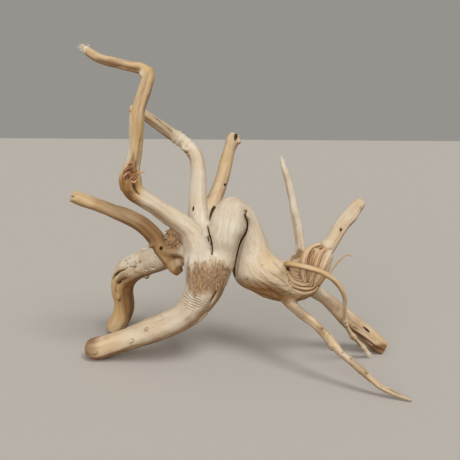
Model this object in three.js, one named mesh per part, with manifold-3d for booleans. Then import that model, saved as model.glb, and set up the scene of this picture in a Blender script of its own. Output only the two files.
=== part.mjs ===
// A bare branch of driftwood: a root stock that grew as one piece, stripped of its bark and dried.
// Its trunk leans on a long front leg, loops over to a thick burl, and sends out legs, arms and spikes.
// Millimetres, +Z up. The floor is z = 0, the front of the piece looks along -Y.
import * as THREE from "three";
import { mergeVertices } from "three/addons/utils/BufferGeometryUtils.js";
import Module from "manifold-3d";

const wasm = await Module();
wasm.setup();

// Each limb is a list of points along its heart, thick end to thin: x, y, height above the floor, radius.
const FRONT_LEG = [
  [-19, -2, 108, 10],
  [-20, -5, 102, 15],
  [-20, -6.5, 96, 17.4],
  [-20, -7, 87, 18.4],
  [-23, -9, 75, 16.8],
  [-30, -10, 62, 14.4],
  [-40, -9, 50, 12.8],
  [-56, -8, 40, 12.6],
  [-75, -6, 31, 12],
  [-94, -4, 22.5, 11.2],
  [-113, -2, 14.6, 10.9],
  [-126, -1, 10.2, 11.2],
  [-134, 0, 9.8, 9.4],
  [-138, 0, 9.8, 6.4],
];
const SHOULDER = [
  [-23, -7, 88, 15.6],
  [-27, -7, 102, 13.8],
  [-29, -7, 114, 11.8],
  [-34.5, -7, 129, 10],
  [-44, -7, 138, 9],
  [-56, -8, 146, 8.3],
  [-66, -10, 154, 7.8],
  [-76, -11, 160, 7.6],
  [-84, -12, 167, 8],
  [-86, -12, 177, 7.8],
];
const UPRIGHT = [
  [-85.5, -12, 168, 7.6],
  [-85.5, -12, 178, 8.6],
  [-84.5, -12, 187, 6.9],
  [-82, -11, 195, 5.6],
  [-80.5, -10, 205, 5.6],
  [-79.5, -9, 219, 5.9],
  [-78, -8, 233, 5.8],
  [-74.5, -7, 244.5, 5.6],
  [-70.5, -6, 255, 5.6],
  [-68.4, -5, 263, 5.4],
  [-69.6, -4, 268.5, 5],
];
const ARM = [
  [-68.5, -5, 265, 5],
  [-73, -4, 269.3, 4.8],
  [-83, -2, 271.2, 4.2],
  [-96.5, 0, 274.6, 4.3],
  [-109, 2, 277.5, 4],
  [-117, 3, 281.5, 3.6],
  [-122, 4, 285, 2.7],
  [-125.5, 4, 287.3, 1.8],
];
const LOOP_FRONT = [
  [-13.5, -6, 83, 12],
  [-7, -4, 98, 12],
  [-4, -3, 111, 12],
  [-3, -2, 120.5, 14.1],
  [-1.7, 0, 129.5, 15.9],
  [0, 3, 139, 15.4],
  [3, 8, 146, 12.9],
  [8, 13, 147.5, 10],
];
const LOOP_BACK = [
  [1.5, 8, 145, 12.6],
  [9.5, 13, 141.5, 12.4],
  [15.5, 17, 131, 12.8],
  [19.5, 19, 118, 14.4],
  [21.8, 20, 105, 17.4],
  [23.5, 18.5, 94, 20.2],
  [24.5, 17, 84, 20],
  [26, 16, 74, 15],
  [27, 16, 68.5, 5],
];
const BELLY = [
  [14, 20, 94, 12],
  [25, 16.5, 88.5, 19.2],
  [40, 9, 81.5, 19.4],
  [54, 2, 80, 19],
  [66, -4, 84.5, 17],
];
const BURL = [
  [50, 3, 80, 14],
  [63, -4, 83, 18.6],
  [70, -7, 89.5, 17.4],
  [76, -8, 96.5, 15],
  [80.3, -7, 104.7, 13.6],
  [84, -5, 112, 12],
];
const RIGHT_STUB = [
  [74, -7, 92, 9],
  [87, -4, 111.5, 7.8],
  [94, -2, 120.5, 6.6],
  [102, 0, 134, 6.4],
  [110, 3, 144, 6.5],
  [116, 5, 151.7, 5.7],
  [120.3, 6, 157, 4.9],
];
const LEFT_ARM = [
  [-57, 14, 97.5, 7.5],
  [-64.5, 16, 107.5, 8],
  [-73, 17, 119.5, 8.1],
  [-83, 17, 129.5, 7.8],
  [-94.5, 15, 137, 7.2],
  [-107, 12, 143, 6.4],
  [-121.5, 9, 149.5, 6],
  [-135, 6, 155, 5.9],
  [-144, 4, 158.8, 5.4],
];
const LEFT_ARM_HEEL = [
  [-64.5, 16, 107.5, 7],
  [-57, 14, 97.5, 7.5],
  [-50.8, 12, 88.5, 6.2],
  [-47, 10.5, 83.5, 4],
];
const BACK_LEG = [
  [-24, 4, 104, 14],
  [-44, 22, 103, 13.6],
  [-57, 31, 98, 12.9],
  [-72.5, 39, 89.7, 12.9],
  [-87, 46, 83, 13.4],
  [-101, 52, 74.5, 13.7],
  [-111, 56, 62.5, 12.6],
  [-114.5, 58, 48, 11.6],
  [-113.5, 59, 33, 10.8],
  [-116, 58, 19.5, 10.4],
  [-122, 56, 8.7, 10],
  [-126, 55, 2, 8.6],
];
const CROOK = [
  [-24, 4, 118, 13],
  [-29, 17, 138.5, 10],
  [-29.6, 22, 150, 8.7],
  [-29.6, 26, 164, 8],
  [-29.7, 29, 178.5, 7.4],
  [-31.6, 31, 191.5, 6.8],
  [-37, 33, 200, 6.3],
  [-45.5, 34, 207.7, 6.1],
  [-56, 34, 214.7, 5.6],
  [-68.5, 33, 223.3, 5.2],
  [-80, 32, 231.5, 4.9],
  [-88.3, 31, 235.7, 4.3],
  [-93, 30, 237.4, 3.3],
];
const REAR_STUB = [
  [-13.5, 10, 118, 12],
  [-17.5, 24, 134, 10],
  [-15.5, 33, 149, 7.8],
  [-10.6, 38, 162, 7],
  [-6.6, 41, 174.5, 6.6],
  [-3.6, 44, 187, 6.2],
  [-0.7, 46, 198.3, 6],
  [3, 48, 208.3, 6.3],
  [5.2, 49, 213.5, 5],
];
const SPIKE = [
  [55, 2, 86, 8],
  [65.4, 11, 100, 6.2],
  [67.3, 14, 108, 4.8],
  [65.8, 15, 121.5, 4.3],
  [62, 16, 139.5, 3.9],
  [58, 18, 158, 3.5],
  [53.2, 19, 177, 3.2],
  [49.3, 20, 187.3, 2.4],
  [48.6, 20, 193, 1.3],
];
const CURL = [
  [48, -4, 98, 3.6],
  [51, -17, 103.6, 3],
  [59, -25, 103.2, 3],
  [73, -28, 100.4, 3.1],
  [84.5, -28, 96.4, 3.1],
  [94, -26, 91.5, 3],
  [101.2, -23, 83.4, 2.7],
  [105, -20, 74.3, 2.4],
  [106, -16, 61.2, 2.2],
  [108, -11, 47.3, 2.2],
  [114.5, -6, 33, 2.2],
  [124.7, 0, 20, 2.2],
  [132.5, 4, 10.4, 2.5],
  [137, 6, 4, 2.4],
];
const TWIG = [
  [82, 8, 76, 3],
  [98, 22, 81.7, 1.3],
  [107.7, 30, 91, 1],
  [115.8, 34, 96.6, 0.9],
  [121.4, 36, 95.3, 0.6],
];
const LONG_LEG = [
  [48, -2, 78, 9],
  [57.7, -16, 64.4, 5.2],
  [66.6, -23, 58.3, 4.2],
  [75.8, -29, 52.8, 3.9],
  [83, -35, 47, 3.8],
  [90.5, -40, 39.6, 4],
  [99.4, -46, 31.2, 3],
  [109.7, -52, 24, 2.9],
  [120, -57, 16.3, 2.8],
  [129.6, -61, 9.5, 2.8],
  [139, -64, 5.2, 2.5],
  [148, -67, 1.8, 2.4],
  [154.5, -69, 1, 1.2],
];
const REAR_FOOT = [
  [68, -4, 82, 9.5],
  [83, 7, 69, 6.8],
  [95, 12, 58.8, 6.4],
  [107, 15, 46.8, 7.2],
  [119, 17, 35, 8.2],
  [130.5, 18, 24.6, 8.8],
  [142.4, 19, 14.8, 8.8],
  [151, 19, 7.4, 8],
  [155.6, 19, 4.6, 6.6],
];
// The web of wood that ties the left arm to the trunk above the hole between them.
const WEB = [
  [-62, 14, 104, 5.5],
  [-50, 9, 108, 6],
  [-36, 4, 112, 7],
];

// Thin strands of torn wood and thin ridges, with a radius at each point as on a limb.
const TORN_STRANDS = [
  // The slats of the split burl, standing up past its torn top edge.
  [[75, -12, 116, 1.4], [72.5, -15.5, 111, 2.4], [69.5, -19, 103, 2.6], [66, -22, 94, 2]],
  [[82, -13.5, 118, 1.3], [79, -18, 110, 2.5], [75.5, -21, 101, 2.7], [72, -23.2, 91, 2]],
  [[88, -11, 116, 1.3], [86, -15, 109, 2.4], [83, -18.5, 100, 2.6], [79.5, -21, 90, 2]],
  // The rims that curve under the slats.
  [[57, -19, 87.5, 1], [61, -22, 82, 1.5], [68, -23, 79.6, 1.5], [77, -20.8, 81.5, 1]],
  [[52.5, -18, 90, 1], [59, -21.8, 86, 1.5], [67, -23.2, 86, 1.2]],
  // Strips torn off the right side of the trunk, and a sliver under it.
  [[-3.5, -14.5, 92, 1.4], [-7, -18.2, 81, 2], [-12.5, -20, 70, 2], [-17, -19, 61, 1.2]],
  [[-3, -9, 88, 1.4], [-5.5, -11, 77, 2], [-11, -12, 66, 1.8], [-17, -12, 56, 1]],
  [[-19, -18, 56, 1.2], [-27, -16.5, 47, 1.2], [-31, -14.5, 42.5, 0.8]],
  // Fibres curled over the knot at the left elbow, and a splinter that sticks out of it.
  [[-90, -18, 180, 1], [-88, -21, 185, 1.3], [-83.5, -21.5, 188, 1.3], [-80, -18.5, 185, 1]],
  [[-87, -20, 175, 1], [-82.5, -21.5, 179, 1.3], [-79, -19.5, 184, 1]],
  [[-82, -18, 181, 1.3], [-76, -20.5, 183.5, 1], [-71.5, -21.5, 184.5, 0.6]],
  // The lip beside the crack on the back leg.
  [[-119, 50, 56, 2], [-115, 45, 64, 3], [-108, 40.5, 71, 3], [-99, 40, 75, 2]],
  // The short fork under the long leg, and the hair at the tip of the spike.
  [[90.5, -40, 39, 3], [91.5, -42, 33, 2]],
  [[48.6, 20, 191, 0.8], [49.6, 20, 195.3, 0.7], [52.3, 20, 197, 0.6]],
];

// Egg-shaped lumps: middle, half sizes (length, width, height), direction of the length, way it faces.
const LUMPS = [
  // The fibrous burl between the left arm and the trunk.
  [[-50, 14, 118], [10, 10, 10]],
  // The knot at the left elbow and the knob inside the top elbow.
  [[-84.5, -16, 183], [7.5, 6, 4.5]],
  [[-73.5, -7, 264.5], [2.4, 2.2, 2.2]],
  // Two collars and a nub on the crook.
  [[-49.5, 34, 210.6], [1.7, 7, 7], [-0.8, 0, 0.55], [0, -1, 0]],
  [[-41, 33.5, 204], [1.7, 7.2, 7.2], [-0.75, 0, 0.66], [0, -1, 0]],
  [[-39, 30, 194.5], [2, 1.6, 1.6]],
  // Knobs round the tip of the rear stub.
  [[8, 45.5, 206.5], [2.6, 2.4, 2.6]],
  [[-1.5, 45, 207.5], [3, 2.2, 2.2]],
  // Nubs on the belly of the loop.
  [[17, 1, 84.5], [1.8, 1.8, 4], [0, 0, 1], [-0.25, -0.95, -0.15]],
  [[31, -0.5, 96.5], [1.2, 1.2, 1.8]],
  // The stub on the left arm.
  [[-73, 10, 111.5], [2.8, 2.6, 4.5], [0, 0, 1], [-0.3, -0.9, 0.2]],
  // A ball, a stub and low scars on the back leg.
  [[-87, 43, 96.5], [3.4, 3.4, 3.4]],
  [[-85, 42, 69], [2.6, 2.6, 2.6]],
  [[-117, 47, 44], [4, 2.4, 2.2], [0, 0, 1], [-0.2, -0.95, 0]],
  // Scars of side roots on the front leg.
  [[-114.5, -8.6, 23.6], [2.6, 2, 1.6], [1, 0, 0.4], [-0.3, -0.7, 0.6]],
  [[-92.7, -14.4, 24], [2.8, 2.2, 2.2], [1, 0, 0.4], [-0.2, -1, 0.2]],
  [[-75.2, -15.4, 37], [3, 2, 1.9], [1, 0, 0.4], [-0.3, -0.9, 0.4]],
  [[-58.5, -12.6, 51], [2.8, 1.8, 1.8], [1, 0, 0.4], [-0.4, -0.4, 0.8]],
  // Eyes on the long leg.
  [[83.5, -38.5, 50], [2, 1.6, 1.8]],
  [[92, -39, 43], [2.2, 1.8, 2]],
];

// Cuts with the same five values: cracks are long and narrow, pits and worm holes are round.
const CUTS = [
  // The deep crack between the shoulder and the loop, and the dark hollow behind them.
  [[-16.5, -8, 118], [10, 1.2, 5], [4, -11, -11], [0.3, -0.9, 0.3]],
  [[-15, 15, 141], [11, 3.4, 11], [0.15, 0, 1], [0, -1, 0]],
  // Slits between the slats of the burl, and the cavity that the curled root grows out of.
  [[68, -13, 108.5], [7, 0.9, 4], [3, 5.5, 7.7], [-0.5, -0.6, 0.6]],
  [[72.5, -19.5, 102], [11, 1, 4.5], [5.6, 5, 16], [-0.2, -0.95, 0.3]],
  [[80.5, -18.5, 104], [9, 1, 4.5], [3.7, 2.8, 9], [0, -0.95, 0.3]],
  [[75, -22.5, 88], [7.5, 0.9, 4], [2.8, 0, 11.5], [0.1, -1, 0]],
  [[54, -16, 97], [5, 4, 6], [0.5, 0, 1], [-0.3, -0.9, 0.1]],
  // Long thin cracks low on the belly.
  [[36, -9.5, 78.6], [8, 0.8, 3], [8.3, -2.6, -7.7], [-0.4, -0.9, -0.1]],
  [[50, -17, 76], [8, 0.8, 3], [9, -3, -6], [-0.2, -0.9, -0.4]],
  // The slit beside the torn strips.
  [[-13, -21, 76], [9, 0.8, 3.5], [-6.7, -2.2, -12.6], [0.7, -0.7, -0.1]],
  // The crack in the left elbow, and the groove along the crook.
  [[-79.5, -18.5, 169], [7, 1.2, 4.5], [4.4, 0.6, -8.8], [0.5, -0.85, 0]],
  [[-62.5, 28, 223], [11, 0.9, 2.6], [14.7, 0, -10.8], [0.4, -0.65, 0.65]],
  // Worm holes: crook, rear stub, left arm, right stub.
  [[-33.3, 11.8, 146.3], [2.6, 1.1, 3]],
  [[-4.7, 34.3, 166], [1.1, 1.1, 2.5]],
  [[-63.6, 8.4, 109.2], [1.8, 1.5, 3]],
  [[100.5, -6.9, 132], [1.3, 1.1, 2.5]],
  // The split in the tip of the rear stub.
  [[6, 43.5, 211.5], [4.5, 1, 4], [0.25, 0, 1], [0.3, -0.95, 0.1]],
  // The crack, the hollow and the pits on the knee of the back leg.
  [[-112.5, 43, 75.5], [12, 1.4, 5], [18, -11, 17], [-0.6, -0.5, 0.6]],
  [[-111, 42, 62.5], [6.5, 2.2, 4], [13.7, -3.8, 6], [-0.2, -0.9, -0.2]],
  [[-95, 34.5, 83.5], [1.6, 1.6, 2.4]],
  [[-90, 33.5, 86.5], [1.4, 1.4, 2.4]],
  // The slot and the long groove in the rear foot.
  [[135.4, 11.4, 27.6], [5.5, 1, 4], [6.3, 0.3, -5.3], [0.4, -0.5, 0.7]],
  [[130, 9.6, 23.5], [17, 1.6, 3.4], [24, 3.2, -25.6], [-0.1, -1, 0]],
  // Hollow heartwood in the cut ends: left arm, rear foot.
  [[-149.5, 3, 161], [2.5, 3.4, 3.4], [-0.92, -0.2, 0.37], [0, -1, 0]],
  [[159.5, 19, 2.5], [2.5, 3.6, 3.6], [0.8, 0, -0.6], [0, -1, 0]],
];

// The dark seam where the front of the loop lies against its back, deep and 2 mm wide.
const SEAM = [
  [15.8, 5, 144, 4],
  [16.6, 5.5, 137, 6],
  [15.5, 5.5, 128, 7],
  [12, 4, 120.5, 7],
  [8.5, 3, 113, 7],
  [6, 3, 105, 7],
  [4, 3, 95, 6],
];
const SEAM_NARROWING = 0.16;

// Bristles of broken fibre that cover the front of the trunk, in rows round its heart.
const TRUNK_HEART = [-20, -7];
const TRUNK_RADIUS = 18.2;
const BRISTLE_ROWS = [83, 88.5, 94, 99.5, 105];
const BRISTLES_PER_ROW = 6;
const BRISTLE_SPREAD = 2.3;
const BRISTLE_LENGTH = 3.4;
const BRISTLE_ROOT = 7.4;
const BRISTLE_RADIUS = 2.2;
const BRISTLE_SIDES = 4;
const BRISTLE_RISE = 5;

// Wrinkles in the bend below the bristles, each a ridge round the front of the leg.
const WRINKLE = [
  [-39.5, -15, 73.5, 0.9],
  [-34, -21.6, 73.5, 1.4],
  [-26, -24.7, 72, 1.4],
  [-17.5, -23, 69.5, 0.9],
];
const WRINKLES = 4;
const WRINKLE_STEP = [-1.9, 0.5, -3.4];

// How a thin strand is drawn, and how a lump is faceted: one more level for each 5 mm, two at most.
const THIN = { sides: 5, step: 9, ridge: 0 };
const LUMP_FACET = 5;
const FINEST_LUMP = 2;
// Points of a geometry that are closer than this are one point.
const SAME_POINT = 1e-4;

// The block under the floor, which the feet rest flat on.
const FLOOR_DEPTH = 60;
const FLOOR_WIDTH = 400;

// A closed geometry as a solid that can be joined and cut.
function solid(geometry) {
  const bare = geometry.clone();
  bare.deleteAttribute("normal");
  bare.deleteAttribute("uv");
  const merged = mergeVertices(bare, SAME_POINT);
  const vertProperties = new Float32Array(merged.attributes.position.array);
  const triVerts = new Uint32Array(merged.index.array);
  return new wasm.Manifold(new wasm.Mesh({ numProp: 3, vertProperties, triVerts }));
}

// A limb: a closed cylinder bent along a smooth curve, as thick at each point as its list says.
// Flutes are long ridges that turn round the limb by twist, in radians from end to end.
// A narrowing under 1 squeezes it from left to right, into a blade.
function limb(points, options = {}) {
  const { sides = 12, step = 8, flutes = 3, ridge = 0.04, twist = 2, narrowing = 1 } = options;
  const heart = new THREE.CatmullRomCurve3(
    points.map(([x, y, z]) => new THREE.Vector3(x, y, z)),
    false,
    "centripetal",
  );
  const thickness = new THREE.CubicInterpolant(
    points.map((point, i) => i),
    points.map((point) => point[3]),
    1,
  );
  const rings = Math.max(2, Math.round(heart.getLength() / step));
  const { normals, binormals } = heart.computeFrenetFrames(rings);
  const geometry = new THREE.CylinderGeometry(1, 1, 1, sides, rings);
  const place = geometry.attributes.position;
  for (let i = 0; i < place.count; i++) {
    const [x, z] = [place.getX(i), place.getZ(i)];
    const ring = Math.round((place.getY(i) + 0.5) * rings);
    const along = ring / rings;
    const between = heart.getUtoTmapping(along) * (points.length - 1);
    const ridged = 1 + ridge * Math.cos(flutes * Math.atan2(x, z) + twist * along);
    const radius = thickness.evaluate(between)[0] * ridged;
    const out = new THREE.Vector3()
      .addScaledVector(binormals[ring], x * radius)
      .addScaledVector(normals[ring], z * radius);
    const spot = heart.getPointAt(along);
    place.setXYZ(i, spot.x + out.x * narrowing, spot.y + out.y, spot.z + out.z);
  }
  return solid(geometry);
}

// An egg-shaped lump: half sizes along its length, across it and outwards, turned to face outwards.
function lump([[x, y, z], [length, width, height], along = [0, 0, 1], facing = [0, -1, 0]]) {
  const up = new THREE.Vector3(...along).normalize();
  const out = new THREE.Vector3(...facing);
  out.addScaledVector(up, -out.dot(up)).normalize();
  const side = new THREE.Vector3().crossVectors(up, out);
  const turn = new THREE.Matrix4().makeBasis(side, up, out).setPosition(x, y, z);
  const detail = Math.round(Math.sqrt(length * width) / LUMP_FACET);
  const egg = new THREE.OctahedronGeometry(1, Math.min(detail, FINEST_LUMP)).scale(width, length, height);
  return solid(egg.applyMatrix4(turn));
}

// A bristle: a point that stands out of the trunk, away from its heart, and leans up.
function bristle(height, angle) {
  const reach = TRUNK_RADIUS + BRISTLE_LENGTH;
  const cone = new THREE.ConeGeometry(BRISTLE_RADIUS, BRISTLE_ROOT + BRISTLE_LENGTH, BRISTLE_SIDES);
  cone.translate(0, reach - (BRISTLE_ROOT + BRISTLE_LENGTH) / 2, 0);
  const out = new THREE.Vector3(Math.sin(angle) * reach, -Math.cos(angle) * reach, BRISTLE_RISE);
  const turn = new THREE.Quaternion().setFromUnitVectors(new THREE.Vector3(0, 1, 0), out.normalize());
  cone.applyQuaternion(turn);
  return solid(cone.translate(...TRUNK_HEART, height));
}

function bristles() {
  return BRISTLE_ROWS.flatMap((height, row) =>
    Array.from({ length: BRISTLES_PER_ROW }, (unused, i) => {
      const angle = ((i + (row % 2) / 2) / BRISTLES_PER_ROW - 0.5) * BRISTLE_SPREAD;
      return bristle(height, angle);
    }),
  );
}

function wrinkles() {
  const [right, back, up] = WRINKLE_STEP;
  return Array.from({ length: WRINKLES }, (unused, i) =>
    limb(
      WRINKLE.map(([x, y, z, radius]) => [x + i * right, y + i * back, z + i * up, radius]),
      THIN,
    ),
  );
}

const limbs = [
  limb(FRONT_LEG, { sides: 16, step: 8, flutes: 4, ridge: 0.025 }),
  limb(SHOULDER, { sides: 12, step: 7 }),
  limb(UPRIGHT, { sides: 12, step: 6, ridge: 0.1, flutes: 4, twist: 3.5 }),
  limb(ARM, { sides: 8, step: 6, ridge: 0.07 }),
  limb(LOOP_FRONT, { sides: 16, step: 6 }),
  limb(LOOP_BACK, { sides: 16, step: 6 }),
  limb(BELLY, { sides: 16, step: 7 }),
  limb(BURL, { sides: 16, step: 6 }),
  limb(RIGHT_STUB, { sides: 9 }),
  limb(LEFT_ARM, { sides: 9 }),
  limb(LEFT_ARM_HEEL, { sides: 9 }),
  limb(BACK_LEG, { sides: 12 }),
  limb(CROOK, { sides: 9 }),
  limb(REAR_STUB, { sides: 9 }),
  limb(SPIKE, { sides: 7 }),
  limb(TWIG, { sides: 5 }),
  limb(LONG_LEG, { sides: 7, step: 7 }),
  limb(REAR_FOOT, { sides: 9, ridge: 0.08 }),
  limb(WEB, { sides: 7 }),
];

const joined = [
  ...LUMPS.map(lump),
  ...bristles(),
  ...wrinkles(),
];
let wood = limbs[0];
for (const next of [...limbs.slice(1), ...joined]) wood = wood.add(next);
for (const cut of CUTS) wood = wood.subtract(lump(cut));
wood = wood.subtract(limb(SEAM, { sides: 8, step: 5, ridge: 0, narrowing: SEAM_NARROWING }));
for (const strand of TORN_STRANDS) wood = wood.add(limb(strand, THIN));
wood = wood.add(limb(CURL, { sides: 7 }));

const floor = new THREE.BoxGeometry(FLOOR_WIDTH, FLOOR_WIDTH, FLOOR_DEPTH);
wood = wood.subtract(solid(floor.translate(0, 0, -FLOOR_DEPTH / 2)));

const made = wood.getMesh();
const geometry = new THREE.BufferGeometry();
geometry.setAttribute("position", new THREE.BufferAttribute(new Float32Array(made.vertProperties), 3));
geometry.setIndex(new THREE.BufferAttribute(new Uint32Array(made.triVerts), 1));
geometry.computeBoundingBox();
const middle = geometry.boundingBox.getCenter(new THREE.Vector3());
geometry.translate(-middle.x, -middle.y, 0);

const driftwood = new THREE.Mesh(
  geometry,
  new THREE.MeshStandardMaterial({ color: 0xcdb58c, roughness: 0.82, metalness: 0 }),
);
driftwood.name = "driftwood";

const root = new THREE.Group();
root.add(driftwood);
export default root;
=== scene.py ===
"""A bare driftwood branch: one root stock that was stripped of its bark, dried and bleached.

It is laid out as an add-on: each group of pieces has an operator, and the panel in the sidebar lists them.
Lists of places are in millimetres, with the floor at height 0 and the front along -Y.
"""

from math import ceil, cos, pi, radians, sin

import bpy
import numpy as np
from bpy.props import FloatProperty, FloatVectorProperty, IntProperty, PointerProperty
from bpy.types import Operator, Panel, PropertyGroup
from mathutils import Matrix, Vector, noise


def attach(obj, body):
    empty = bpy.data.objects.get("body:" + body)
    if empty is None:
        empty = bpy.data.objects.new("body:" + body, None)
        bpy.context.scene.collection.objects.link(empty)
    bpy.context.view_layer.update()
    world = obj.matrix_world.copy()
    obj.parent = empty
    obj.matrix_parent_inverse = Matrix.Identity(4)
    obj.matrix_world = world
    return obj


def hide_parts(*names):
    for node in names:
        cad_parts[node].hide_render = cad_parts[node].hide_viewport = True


bl_info = {
    "name": "Driftwood branch",
    "version": (1, 0, 0),
    "blender": (4, 5, 0),
    "location": "3D View > Sidebar > Driftwood",
    "description": "Grows a bare, dried root branch with its burl, cracks and torn fibres",
    "category": "Add Mesh",
}

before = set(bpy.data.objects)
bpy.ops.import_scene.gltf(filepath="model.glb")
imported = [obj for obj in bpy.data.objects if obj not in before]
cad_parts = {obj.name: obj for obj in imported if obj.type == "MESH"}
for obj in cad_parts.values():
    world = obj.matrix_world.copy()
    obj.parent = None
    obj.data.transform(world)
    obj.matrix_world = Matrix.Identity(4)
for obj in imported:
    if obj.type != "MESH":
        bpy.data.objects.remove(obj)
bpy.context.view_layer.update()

MM = 0.001
# The lists below are measured from the foot of the trunk, this far from the middle of the branch.
LIST_SHIFT = np.array([-6.28, 0.16, 0.0])

UP = (0, 0, 1)
FRONT = (0, -1, 0)

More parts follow.
